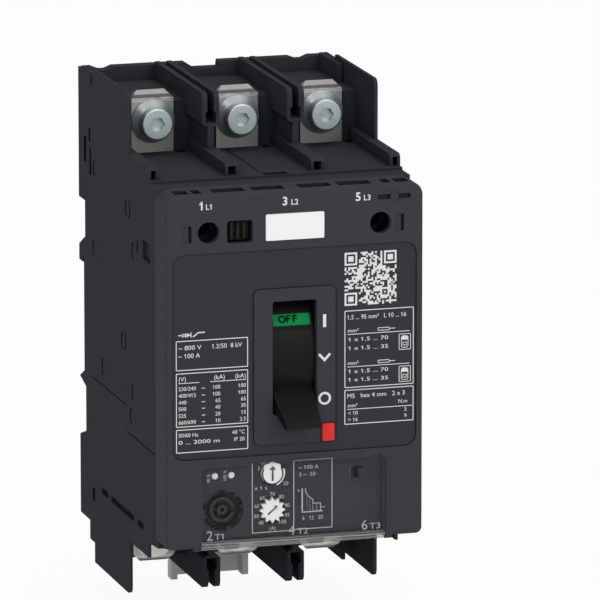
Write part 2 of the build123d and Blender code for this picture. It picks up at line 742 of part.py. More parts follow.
def top_marks():
    """Cuts in the top band: label seat, selector window, pry notches and slide track."""
    cuts = []
    label = tablet(span(LABEL_WIDTH + 2 * FIT_GAP), span(LABEL_HEIGHT + 2 * FIT_GAP, LABEL_CENTRE_Z))
    cuts.append(slab(label, FACE_DEPTH - LABEL_SINK, FACE_DEPTH))
    selector_x = span(SELECTOR_WIDTH, SELECTOR_CENTRE_X)
    selector_z = span(SELECTOR_HEIGHT, SELECTOR_CENTRE_Z)
    selector = tablet(selector_x, selector_z, SELECTOR_RADIUS)
    cuts.append(slab(selector, CASE_FRONT, FACE_DEPTH))
    notch_z = span(NOTCH_HEIGHT, NOTCH_CENTRE_Z)
    for centre in NOTCH_CENTRES_X:
        notch_x = span(NOTCH_WIDTH, centre)
        field_x = (notch_x[0] - NOTCH_FIELD_WIDTH, notch_x[1])
        cuts.append(slab(tablet(notch_x, notch_z), FACE_DEPTH - NOTCH_SINK, FACE_DEPTH))
        cuts.append(slab(tablet(field_x, notch_z), FACE_DEPTH - NOTCH_FIELD_SINK, FACE_DEPTH))
    track = Pos(*TRACK_CENTRE) * SlotOverall(TRACK_LENGTH, TRACK_WIDTH)
    cuts.append(slab(track, FACE_DEPTH - TRACK_SINK, FACE_DEPTH))
    return cuts


def top_pockets():
    """Shallow pockets in the cover's top edge, the same on both sides."""
    pockets = []
    z = (COVER_TOP - TOP_POCKET_SINK, COVER_TOP)
    for near, far in TOP_POCKETS:
        for side in (-1, 1):
            pockets.append(between(sorted((side * near, side * far)), depths(*TOP_POCKET_DEPTHS), z))
    return pockets


def make_front_cover():
    """Front cover with handle frame, fixing holes, label seats and trip unit window."""
    cover = cover_shell()
    cover += hinge_lugs()
    cover -= panel_recess()
    opening_x, opening_z = opening_limits()
    cover -= slab(tablet(opening_x, opening_z, OPENING_RADIUS), CASE_FRONT, FACE_DEPTH)
    button_x, button_z = button_limits(RUN_GAP / 2)
    cover -= slab(tablet(button_x, button_z, BUTTON_CORNER), CASE_FRONT, FACE_DEPTH)
    low, high = window_limits()
    window = tablet((low, high), (WINDOW_TOP - 2 * COVER_TOP, WINDOW_TOP), WINDOW_RADIUS)
    cover -= slab(window, CASE_FRONT, FACE_DEPTH)
    for x in (low, high):
        pin = span(2 * (FLAP_PIN_LENGTH + FLAP_GAP), x)
        cover -= cross_bar(FLAP_PIN_RADIUS + SHAFT_GAP, pin, FLAP_AXIS_DEPTH, FLAP_AXIS_HEIGHT)
    for x in fixing_centres():
        cover -= rod(x, FIXING_HEIGHT, FIXING_ACCESS_DIAMETER / 2, CASE_FRONT, FACE_DEPTH)
    cover -= top_marks()
    cover -= top_pockets()
    stud_back = FACE_DEPTH - COVER_FRONT_WALL
    cover += rod(*TRACK_CENTRE, TRACK_KNOB_RADIUS, stud_back, FACE_DEPTH + TRACK_KNOB_PROUD)
    return cover


def make_rating_panel():
    """Thin panel that carries the ratings, round the handle frame."""
    x = span(PANEL_WIDTH - 2 * FIT_GAP)
    field = tablet(x, (PANEL_BOTTOM + FIT_GAP, PANEL_TOP - FIT_GAP), PANEL_RADIUS - FIT_GAP)
    hole = tablet(
        span(FRAME_WIDTH + 2 * FIT_GAP),
        (FRAME_BOTTOM - FIT_GAP, FRAME_TOP + FIT_GAP),
        FRAME_RADIUS + FIT_GAP,
    )
    front = FACE_DEPTH - PANEL_SINK
    return slab(field - hole, front - PANEL_THICKNESS, front)


def make_id_label():
    """Blank label plate in the top band."""
    label = tablet(span(LABEL_WIDTH), span(LABEL_HEIGHT, LABEL_CENTRE_Z), LABEL_CORNER)
    back = FACE_DEPTH - LABEL_SINK
    return slab(label, back, back + LABEL_THICKNESS)


def make_selector_insert():
    """Dark ribbed insert behind the square window."""
    x = span(SELECTOR_WIDTH - 2 * FIT_GAP, SELECTOR_CENTRE_X)
    z = span(SELECTOR_HEIGHT - 2 * FIT_GAP, SELECTOR_CENTRE_Z)
    front = FACE_DEPTH - SELECTOR_FRONT_GAP
    floor = front - SELECTOR_DEPTH
    insert = slab(tablet(x, z, SELECTOR_RADIUS - FIT_GAP), CASE_FRONT, floor)
    pitch = (x[1] - x[0]) / (SELECTOR_RIBS + 1)
    rib_z = (z[0] + SELECTOR_RIB_WIDTH, z[1] - SELECTOR_RIB_WIDTH)
    for index in range(SELECTOR_RIBS):
        rib_x = span(SELECTOR_RIB_WIDTH, x[0] + (index + 1) * pitch)
        insert += between(rib_x, depths(floor, front - SELECTOR_RIB_SET_BACK), rib_z)
    return insert


# ---------------------------------------------------------------- handle
def around_pivot(radius, angle):
    """(Y, Z) of a point about the handle's pivot; the angle is above the horizontal."""
    turn = math.radians(angle)
    return (-PIVOT_DEPTH - radius * math.cos(turn), PIVOT_HEIGHT + radius * math.sin(turn))


def drum_sector(inner, outer, start, end):
    """Ring sector about the pivot as a sketch in Y and Z; angles above the horizontal."""
    middle = (start + end) / 2
    edges = [
        ThreePointArc(around_pivot(outer, start), around_pivot(outer, middle), around_pivot(outer, end)),
        Line(around_pivot(outer, end), around_pivot(inner, end)),
        ThreePointArc(around_pivot(inner, end), around_pivot(inner, middle), around_pivot(inner, start)),
        Line(around_pivot(inner, start), around_pivot(outer, start)),
    ]
    return make_face(edges)


def lever_blank():
    """Tapered lever that stands out from the drum, in its off position."""
    root = DRUM_RADIUS - DRUM_WALL / 2
    profile = make_face(Polyline(
        (root, -LEVER_ROOT / 2),
        (LEVER_REACH, -LEVER_TIP / 2),
        (LEVER_REACH, LEVER_TIP / 2),
        (root, LEVER_ROOT / 2),
        close=True,
    ))
    wide = extrude(profile, DRUM_WIDTH / 2, both=True)
    plan = make_face(Polyline(
        (root, -DRUM_WIDTH / 2),
        (DRUM_RADIUS + RUN_GAP, -DRUM_WIDTH / 2),
        (LEVER_REACH, -LEVER_TIP_WIDTH / 2),
        (LEVER_REACH, LEVER_TIP_WIDTH / 2),
        (DRUM_RADIUS + RUN_GAP, DRUM_WIDTH / 2),
        (root, DRUM_WIDTH / 2),
        close=True,
    ))
    taper = Rot(X=90) * extrude(plan, LEVER_ROOT, both=True)
    lever = wide & taper
    tip = lever.faces().sort_by(Axis.X)[-1]
    lever = fillet(tip.edges(), LEVER_TIP / 4)
    to_pivot = Plane(origin=(0, -PIVOT_DEPTH, PIVOT_HEIGHT), x_dir=(0, -1, 0), z_dir=(-1, 0, 0))
    return to_pivot * Rot(Z=-OFF_ANGLE) * lever


def flag_band(middle, gap=0.0):
    """Curved inlay in the drum's surface about a middle angle."""
    extra = math.degrees(gap / DRUM_RADIUS)
    half = FLAG_SPAN / 2 + extra
    ring = drum_sector(DRUM_RADIUS - FLAG_THICKNESS, DRUM_RADIUS, middle - half, middle + half)
    return across(ring, span(FLAG_WIDTH + 2 * gap))


def flag_angles():
    """Middle angles of the off flag and the on flag with the handle off."""
    return FLAG_OFFSET - OFF_ANGLE, -FLAG_OFFSET - OFF_ANGLE


def make_handle():
    """Rocking handle: curved drum, lever and two webs down to the hub."""
    ring = drum_sector(DRUM_RADIUS - DRUM_WALL, DRUM_RADIUS, -OFF_ANGLE - DRUM_SPAN, -OFF_ANGLE + DRUM_SPAN)
    handle = across(ring, span(DRUM_WIDTH))
    for side in (-1, 1):
        outer = side * DRUM_WIDTH / 2
        x = sorted((outer, outer - side * HANDLE_WEB))
        web_half = DRUM_SPAN / 3
        web_end = DRUM_RADIUS - DRUM_WALL / 2
        web = drum_sector(HUB_RADIUS / 2, web_end, -OFF_ANGLE - web_half, -OFF_ANGLE + web_half)
        handle += across(web, x)
    handle += cross_bar(HUB_RADIUS, span(DRUM_WIDTH), PIVOT_DEPTH, PIVOT_HEIGHT)
    handle += lever_blank()
    handle -= cross_bar(PIN_DIAMETER / 2 + SHAFT_GAP, span(DRUM_WIDTH), PIVOT_DEPTH, PIVOT_HEIGHT)
    for middle in flag_angles():
        handle -= flag_band(middle)
    return handle


def make_handle_pin():
    """Steel pin that the handle turns on."""
    length = DRUM_WIDTH + 2 * PIN_OVERHANG
    return cross_bar(PIN_DIAMETER / 2, span(length), PIVOT_DEPTH, PIVOT_HEIGHT)


def make_trip_button():
    """Red push-to-trip button with its flange and stem."""
    x, z = button_limits()
    inside = FACE_DEPTH - COVER_FRONT_WALL - RUN_GAP
    button = slab(tablet(x, z, BUTTON_CORNER), inside, FACE_DEPTH + BUTTON_PROUD)
    front = button.edges().group_by(Axis.Y)[0]
    button = fillet(front, BUTTON_EDGE)
    flange_x, flange_z = button_limits(BUTTON_FLANGE)
    flange = tablet(flange_x, flange_z, BUTTON_CORNER)
    button += slab(flange, inside - BUTTON_FLANGE_THICKNESS, inside)
    stem_back = inside - BUTTON_STEM_LENGTH
    button += rod(BUTTON_CENTRE_X, BUTTON_CENTRE_Z, BUTTON_STEM_DIAMETER / 2, stem_back, inside)
    return button


# ---------------------------------------------------------------- trip unit
def make_setting_face():
    """Block behind the window that carries the dials, lamps and test socket."""
    low, high = window_limits()
    x = (low - FACE_PLATE_MARGIN, high + FACE_PLATE_MARGIN)
    top = WINDOW_TOP + FACE_PLATE_MARGIN
    face = between(x, depths(CASE_FRONT, FACE_PLATE_DEPTH), (FACE_PLATE_BOTTOM, top))
    for z, radius in ((CLASS_DIAL_Z, CLASS_DIAL_RADIUS), (CURRENT_DIAL_Z, CURRENT_DIAL_RADIUS)):
        seat = FACE_PLATE_DEPTH - DIAL_SEAT_DEPTH
        face -= rod(DIAL_CENTRE_X, z, radius + RUN_GAP, seat, FACE_PLATE_DEPTH)
        shaft_back = seat - DIAL_SHAFT_LENGTH - RUN_GAP
        face -= rod(DIAL_CENTRE_X, z, DIAL_SHAFT_RADIUS + SHAFT_GAP, shaft_back, seat)
    socket_back = FACE_PLATE_DEPTH - SOCKET_DEPTH
    face -= rod(SOCKET_CENTRE_X, SOCKET_CENTRE_Z, SOCKET_RADIUS, socket_back, FACE_PLATE_DEPTH)
    for x_led in LED_CENTRES_X:
        face -= rod(x_led, LED_CENTRE_Z, LED_RADIUS, FACE_PLATE_DEPTH - LED_LENGTH, FACE_PLATE_DEPTH)
    return face


def dial_blank(z, outline):
    """Dial head of a sketch with its shaft."""
    seat = FACE_PLATE_DEPTH - DIAL_SEAT_DEPTH
    head = slab(Pos(DIAL_CENTRE_X, z) * outline, seat, FACE_PLATE_DEPTH + DIAL_HEIGHT)
    return head + rod(DIAL_CENTRE_X, z, DIAL_SHAFT_RADIUS, seat - DIAL_SHAFT_LENGTH, seat)


def setting_slot(z, radius, angle):
    """Arrow-shaped screwdriver slot in a dial, pointing at an angle from the top."""
    length = 1.3 * radius
    arrow = Rectangle(SETTING_SLOT_WIDTH, length)
    for side in (-1, 1):
        barb = Rot(Z=side * 45) * (Pos(0, -length / 6) * Rectangle(SETTING_SLOT_WIDTH, length / 3))
        arrow += Pos(0, length / 2) * barb
    front = FACE_PLATE_DEPTH + DIAL_HEIGHT
    placed = Pos(DIAL_CENTRE_X, z) * Rot(Z=-angle) * arrow
    return slab(placed, front - SETTING_SLOT_DEPTH, front)


def make_class_dial():
    """Round dial for the trip class."""
    head = dial_blank(CLASS_DIAL_Z, Circle(CLASS_DIAL_RADIUS))
    return head - setting_slot(CLASS_DIAL_Z, CLASS_DIAL_RADIUS, CLASS_DIAL_ANGLE)


def star_outline():
    """Toothed outline of the current dial."""
    points = []
    for index in range(2 * CURRENT_DIAL_TEETH):
        radius = CURRENT_DIAL_RADIUS if index % 2 == 0 else CURRENT_DIAL_ROOT
        turn = math.pi * index / CURRENT_DIAL_TEETH
        points.append((radius * math.sin(turn), radius * math.cos(turn)))
    return make_face(Polyline(*points, close=True))


def make_current_dial():
    """Toothed dial for the current setting."""
    head = dial_blank(CURRENT_DIAL_Z, star_outline())
    return head - setting_slot(CURRENT_DIAL_Z, CURRENT_DIAL_ROOT, CURRENT_DIAL_ANGLE)


def make_test_socket():
    """Round test socket: gapped outer ring, keyed inner ring, hub and contact pins."""
    back = FACE_PLATE_DEPTH - SOCKET_DEPTH
    centre = Pos(SOCKET_CENTRE_X, SOCKET_CENTRE_Z)
    socket = slab(centre * Circle(SOCKET_RADIUS), back, back + SOCKET_FLOOR)
    outer = Circle(SOCKET_RADIUS) - Circle(SOCKET_RADIUS - SOCKET_RING_WALL)
    gap = Pos(SOCKET_RADIUS, 0) * Rectangle(4 * SOCKET_RING_WALL, SOCKET_GAP_WIDTH)
    for index in range(SOCKET_GAP_COUNT):
        outer -= Rot(Z=360 * index / SOCKET_GAP_COUNT + SOCKET_GAP_TURN) * gap
    socket += slab(centre * outer, back, FACE_PLATE_DEPTH - SOCKET_RING_SET_BACK)
    inner_front = FACE_PLATE_DEPTH - SOCKET_INNER_SET_BACK
    inner = Circle(SOCKET_INNER_RADIUS) - Circle(SOCKET_INNER_RADIUS - SOCKET_RING_WALL)
    inner -= Pos(SOCKET_INNER_RADIUS, 0) * Rectangle(3 * SOCKET_RING_WALL, SOCKET_KEY_WIDTH)
    socket += slab(centre * inner, back, inner_front)
    hub = Circle(SOCKET_HUB_RADIUS) - Circle(SOCKET_HUB_RADIUS / 2)
    socket += slab(centre * hub, back, inner_front)
    reach = (SOCKET_HUB_RADIUS + SOCKET_INNER_RADIUS - SOCKET_RING_WALL) / 2
    pin = Pos(reach, 0) * Circle(SOCKET_PIN_RADIUS)
    for index in range(SOCKET_PIN_COUNT):
        turn = SOCKET_PIN_TURN + SOCKET_PIN_STEP * index
        socket += slab(centre * Rot(Z=turn) * pin, back, FACE_PLATE_DEPTH - SOCKET_PIN_SET_BACK)
    return socket


def make_lamp(x):
    """Round status lamp with a domed lens."""
    back = FACE_PLATE_DEPTH - LED_LENGTH
    base = rod(x, LED_CENTRE_Z, LED_RADIUS, back, FACE_PLATE_DEPTH + LED_PROUD)
    front = base.edges().group_by(Axis.Y)[0]
    return fillet(front, LED_DOME)


def make_seal_eye():
    """Eye that stands through the flap for a seal wire."""
    x = span(SEAL_WIDTH, SEAL_CENTRE_X)
    z = span(SEAL_HEIGHT, SEAL_CENTRE_Z)
    front = FACE_DEPTH + SEAL_PROUD
    eye = between(x, depths(FACE_PLATE_DEPTH, front), z)
    hole_depth = front - SEAL_EYE_SET_BACK - SEAL_EYE_RADIUS
    return eye - cross_bar(SEAL_EYE_RADIUS, x, hole_depth, SEAL_CENTRE_Z)


def make_trip_flap():
    """Transparent flap over the settings, hinged along its lower edge."""
    x = window_limits(FLAP_GAP)
    plate = tablet(x, (WINDOW_TOP - 2 * COVER_TOP, WINDOW_TOP - FLAP_GAP), WINDOW_RADIUS - FLAP_GAP)
    plate = plate & tablet(x, (FLAP_AXIS_HEIGHT, WINDOW_TOP))
    front = FACE_DEPTH - FLAP_SET_BACK
    flap = slab(plate, front - FLAP_THICKNESS, front)
    flap += cross_bar(FLAP_BARREL_RADIUS, x, FLAP_AXIS_DEPTH, FLAP_AXIS_HEIGHT)
    pins = (x[0] - FLAP_PIN_LENGTH, x[1] + FLAP_PIN_LENGTH)
    flap += cross_bar(FLAP_PIN_RADIUS, pins, FLAP_AXIS_DEPTH, FLAP_AXIS_HEIGHT)
    slot_x = span(SEAL_WIDTH + 2 * RUN_GAP + SEAL_SLOT_EXTRA, SEAL_CENTRE_X - SEAL_SLOT_EXTRA / 2)
    slot_z = span(SEAL_HEIGHT + 2 * RUN_GAP, SEAL_CENTRE_Z)
    slot = tablet(slot_x, slot_z, SEAL_SLOT_CORNER)
    return flap - slab(slot, front - FLAP_THICKNESS, front)


# ---------------------------------------------------------------- terminals
def make_pad(end, x):
    """Terminal pad: a strap with its outer end bent back and its corners cut."""
    face = BLOCK_FRONT + PAD_THICKNESS
    block_top = end.shelf + BLOCK_HEIGHT
    bend = block_top + end.pad_rise
    turn = math.radians(PAD_LIP_ANGLE)
    lip_run = end.lip * math.sin(turn)
    lip_rise = end.lip * math.cos(turn)
    half = PAD_THICKNESS / 2
    outline = [
        (-BLOCK_FRONT, end.sign * end.shelf),
        (-face, end.sign * end.shelf),
        (-face, end.sign * bend),
        (-face + lip_run, end.sign * (bend + lip_rise)),
        (-face + lip_run + half, end.sign * (bend + lip_rise - half)),
        (-BLOCK_FRONT, end.sign * block_top),
    ]
    pad = prism(outline, span(PAD_WIDTH, x))
    top = bend + lip_rise
    for side in (-1, 1):
        corner = x + side * PAD_WIDTH / 2
        cut = make_face(Polyline(
            (corner, end.sign * (top - PAD_CORNER)),
            (corner, end.sign * top),
            (corner - side * PAD_CORNER, end.sign * top),
            close=True,
        ))
        pad -= slab(cut, BLOCK_FRONT - lip_run, face)
    return pad - rod(x, end.screw_height(), PAD_HOLE_DIAMETER / 2, BLOCK_FRONT, face)


def turned(profile, x, height, back):
    """Solid of revolution about a terminal's axis; the profile gives (radius, depth) points."""
    axis_plane = Plane(origin=(x, -back, height), x_dir=(1, 0, 0), z_dir=(0, 0, 1))
    face = axis_plane * make_face(Polyline(*[(r, -d) for r, d in profile], close=True))
    return revolve(face, Axis((x, -back, height), (0, -1, 0)))


def make_washer(end, x):
    """Conical washer under a terminal screw."""
    height = end.screw_height()
    profile = [
        (WASHER_BORE / 2, 0),
        (WASHER_DIAMETER / 2, 0),
        (WASHER_DIAMETER / 2, WASHER_RIM),
        (WASHER_CROWN_DIAMETER / 2, WASHER_HEIGHT),
        (WASHER_BORE / 2, WASHER_HEIGHT),
    ]
    return turned(profile, x, height, BLOCK_FRONT + PAD_THICKNESS)


def make_screw(end, x):
    """Terminal screw with a hexagon socket."""
    height = end.screw_height()
    seat = BLOCK_FRONT + PAD_THICKNESS + WASHER_HEIGHT
    head = rod(x, height, SCREW_HEAD_DIAMETER / 2, seat, seat + SCREW_HEAD_HEIGHT)
    front = head.edges().group_by(Axis.Y)[0]
    head = fillet(front, SCREW_HEAD_EDGE)
    key = Pos(x, height) * RegularPolygon(SCREW_SOCKET_FLATS / 2, 6, major_radius=False)
    front_depth = seat + SCREW_HEAD_HEIGHT
    head -= slab(key, front_depth - SCREW_SOCKET_DEPTH, front_depth)
    shank_back = BLOCK_FRONT + PAD_THICKNESS - SCREW_LENGTH
    return head + rod(x, height, SCREW_DIAMETER / 2, shank_back, seat)


# ---------------------------------------------------------------- rail clip
def make_rail_clip():
    """Sliding clip that catches the rail's lower flange: a plate with two legs and a nose."""
    front = CLIP_DEPTH + CLIP_THICKNESS
    web_front = CLIP_DEPTH + CLIP_WEB
    top = SEAM_REAR - RUN_GAP
    clip = between(span(CLIP_WIDTH), depths(CLIP_DEPTH, web_front), (CLIP_BOTTOM, top))
    for side in (-1, 1):
        edge = side * CLIP_WIDTH / 2
        leg = sorted((edge, edge - side * CLIP_LEG_WIDTH))
        clip += between(leg, depths(CLIP_DEPTH, front), (CLIP_BOTTOM - CLIP_LEG, top))
    nose_face = RAIL_SEAT - RAIL_THICKNESS - RAIL_PLAY
    nose_tip = CLIP_NOSE_REACH - RAIL_HEIGHT / 2
    nose = [
        (-web_front, top),
        (-nose_face, top),
        (-nose_face, nose_tip),
        (-nose_face + CLIP_NOSE_SLOPE, nose_tip),
        (-nose_face + CLIP_NOSE_THICKNESS, top - CLIP_NOSE_SLOPE),
        (-nose_face + CLIP_NOSE_THICKNESS, top - CLIP_NOSE_HEIGHT),
        (-web_front, top - CLIP_NOSE_HEIGHT),
    ]
    clip += prism(nose, span(CLIP_WIDTH - 2 * CLIP_LEG_WIDTH))
    pull_z = span(CLIP_SLOT_HEIGHT, CLIP_BOTTOM + CLIP_SLOT_RISE)
    pull = tablet(span(CLIP_SLOT_WIDTH), pull_z, CLIP_SLOT_CORNER)
    return clip - slab(pull, CLIP_DEPTH, web_front)


# ---------------------------------------------------------------- assembly
def make_parts():
    """All sub-parts by node name."""
    parts = {
        "breaker_case": make_breaker_case(),
        "trip_unit_case": make_trip_unit_case(),
        "front_cover": make_front_cover(),
        "rating_panel": make_rating_panel(),
        "id_label": make_id_label(),
        "selector_insert": make_selector_insert(),
        "handle": make_handle(),
        "handle_pin": make_handle_pin(),
        "trip_button": make_trip_button(),
        "setting_face": make_setting_face(),
        "class_dial": make_class_dial(),
        "current_dial": make_current_dial(),
        "test_socket": make_test_socket(),
        "seal_eye": make_seal_eye(),
        "trip_flap": make_trip_flap(),
        "rail_clip": make_rail_clip(),
    }
    for name, angle in zip(("flag_off", "flag_on"), flag_angles()):
        parts[name] = flag_band(angle)
    for name, x in zip(("lamp_ready", "lamp_alarm"), LED_CENTRES_X):
        parts[name] = make_lamp(x)
    for end in (LINE, LOAD):
        for index, x in enumerate(pole_centres(), start=1):
            parts[f"{end.name}_pad_{index}"] = make_pad(end, x)
            parts[f"{end.name}_washer_{index}"] = make_washer(end, x)
            parts[f"{end.name}_screw_{index}"] = make_screw(end, x)
    return parts


os.makedirs("parts", exist_ok=True)
for node, solid in make_parts().items():
    export_step(solid, f"parts/{node}.step")
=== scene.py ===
"""Finishes, prints and studio for a three-pole motor protection breaker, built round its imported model."""

import logging
import math
from collections.abc import Callable, Sequence
from dataclasses import dataclass
from enum import Enum

import bmesh
import bpy
from mathutils import Matrix, Vector
from mathutils.bvhtree import BVHTree


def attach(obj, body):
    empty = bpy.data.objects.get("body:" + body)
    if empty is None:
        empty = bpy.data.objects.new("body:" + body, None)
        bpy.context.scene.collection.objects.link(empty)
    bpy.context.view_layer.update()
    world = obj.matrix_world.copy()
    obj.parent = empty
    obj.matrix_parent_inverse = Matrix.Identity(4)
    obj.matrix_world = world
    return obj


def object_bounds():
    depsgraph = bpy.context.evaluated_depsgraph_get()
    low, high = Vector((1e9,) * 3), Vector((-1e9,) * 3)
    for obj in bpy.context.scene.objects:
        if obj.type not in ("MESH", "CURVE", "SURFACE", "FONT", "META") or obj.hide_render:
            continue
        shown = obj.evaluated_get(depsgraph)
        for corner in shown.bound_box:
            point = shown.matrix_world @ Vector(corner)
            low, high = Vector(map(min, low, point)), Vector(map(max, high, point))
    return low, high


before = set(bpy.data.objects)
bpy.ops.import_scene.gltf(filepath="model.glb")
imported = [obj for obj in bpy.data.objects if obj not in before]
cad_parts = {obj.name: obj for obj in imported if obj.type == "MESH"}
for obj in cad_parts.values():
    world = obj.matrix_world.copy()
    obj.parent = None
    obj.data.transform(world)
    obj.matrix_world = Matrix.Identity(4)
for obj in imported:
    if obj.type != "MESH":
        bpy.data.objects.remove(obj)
CAD_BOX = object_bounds()

# one millimetre, the poles' pitch in millimetres, and a Y in metres that lies well before the breaker
MM = 0.001
POLE_PITCH = 27.0
FAR_FRONT = -1.0

Colour = tuple[float, float, float]
Axes = tuple[float, float, float]
Point = tuple[float, float]
Box = tuple[Point, Point, Point]

log = logging.getLogger("breaker")


# ---------------------------------------------------------------- scene helpers
def placed(name: str, data: bpy.types.ID) -> bpy.types.Object:
    """Put new data into the scene as an object.

    Args:
        name: the object's name.
        data: its mesh, curve, lamp or camera.

    Returns:
        The object.
    """
    made = bpy.data.objects.new(name, data)
    bpy.context.scene.collection.objects.link(made)
    return made


def plain_mesh(holder: bpy.types.Object) -> bpy.types.Mesh:
    """Keep what a helper object makes as a plain mesh, and remove the helper.

    Args:
        holder: the helper.

    Returns:
        The mesh.
    """
    seen = holder.evaluated_get(bpy.context.evaluated_depsgraph_get())
    mesh = bpy.data.meshes.new_from_object(seen)
    bpy.data.objects.remove(holder)
    return mesh


def aimed(place: Sequence[float], back: Vector) -> Matrix:
    """Matrix of a lamp or camera at a place, with its back to a direction and its top up."""
    return Matrix.Translation(place) @ back.to_track_quat("Z", "Y").to_matrix().to_4x4()


# ---------------------------------------------------------------- node graphs
class Signal:
    """A value socket whose arithmetic adds Math nodes to its graph."""

    def __init__(self, graph: "Graph", socket: bpy.types.NodeSocket) -> None:
        """Wrap one output socket of a graph."""
        self.graph = graph
        self.socket = socket

    def _math(self, operation: str, *values: "Signal | float") -> "Signal":
        """Add a Math node with that operation and these operands, and wrap its output."""
        return self.graph.signal("ShaderNodeMath", {"operation": operation}, dict(enumerate(values)))

    def __add__(self, other: "Signal | float") -> "Signal":
        """Sum."""
        return self._math("ADD", self, other)

    def __radd__(self, other: float) -> "Signal":
        """Reflected sum."""
        return self._math("ADD", other, self)

    def __sub__(self, other: "Signal | float") -> "Signal":
        """Difference."""
        return self._math("SUBTRACT", self, other)

    def __rsub__(self, other: float) -> "Signal":
        """Reflected difference."""
        return self._math("SUBTRACT", other, self)

    def __mul__(self, other: "Signal | float") -> "Signal":
        """Product."""
        return self._math("MULTIPLY", self, other)

    def __rmul__(self, other: float) -> "Signal":
        """Reflected product."""
        return self._math("MULTIPLY", other, self)

    def __truediv__(self, other: "Signal | float") -> "Signal":
        """Quotient."""
        return self._math("DIVIDE", self, other)

    def __pow__(self, other: "Signal | float") -> "Signal":
        """Power."""
        return self._math("POWER", self, other)

    def __gt__(self, other: "Signal | float") -> "Signal":
        """1 where this is greater."""
        return self._math("GREATER_THAN", self, other)

    def __lt__(self, other: "Signal | float") -> "Signal":
        """1 where this is smaller."""
        return self._math("LESS_THAN", self, other)

    def larger(self, other: "Signal | float") -> "Signal":
        """The larger of two values."""
        return self._math("MAXIMUM", self, other)

    def whole(self) -> "Signal":
        """The nearest whole number."""
        return self._math("ROUND", self)

    def size(self) -> "Signal":
        """The value without its sign."""
        return self._math("ABSOLUTE", self)

    def wave(self) -> "Signal":
        """Sine of the value."""
        return self._math("SINE", self)

    def limited(self) -> "Signal":
        """The value held between 0 and 1."""
        return self.graph.signal("ShaderNodeClamp", {}, {"Value": self})


class Graph:
    """A node tree that is filled by one method."""

    def __init__(self, tree: bpy.types.NodeTree) -> None:
        """Keep the tree to fill."""
        self.tree = tree

    def feed(self, socket: bpy.types.NodeSocket, value: object) -> None:
        """Link a socket, or set its value.

        Args:
            socket: the input to feed.
            value: a signal, a socket or a plain value.
        """
        source = value.socket if isinstance(value, Signal) else value
        if isinstance(source, bpy.types.NodeSocket):
            self.tree.links.new(source, socket)
        else:
            socket.default_value = source

    def node(self, kind: str, settings: dict | None = None, inputs: dict | None = None) -> bpy.types.Node:
        """Add a node.

        Args:
            kind: the node's type.
            settings: its properties.
            inputs: values or links of its sockets, by name or number.

        Returns:
            The new node.
        """
        made = self.tree.nodes.new(kind)
        for key, value in (settings or {}).items():
            setattr(made, key, value)
        for key, value in (inputs or {}).items():
            self.feed(made.inputs[key], value)
        return made

    def signal(
        self, kind: str, settings: dict | None = None, inputs: dict | None = None, output: int | str = 0,
    ) -> Signal:
        """Add a node as the node method does, and wrap the output of that name or number."""
        return Signal(self, self.node(kind, settings, inputs).outputs[output])


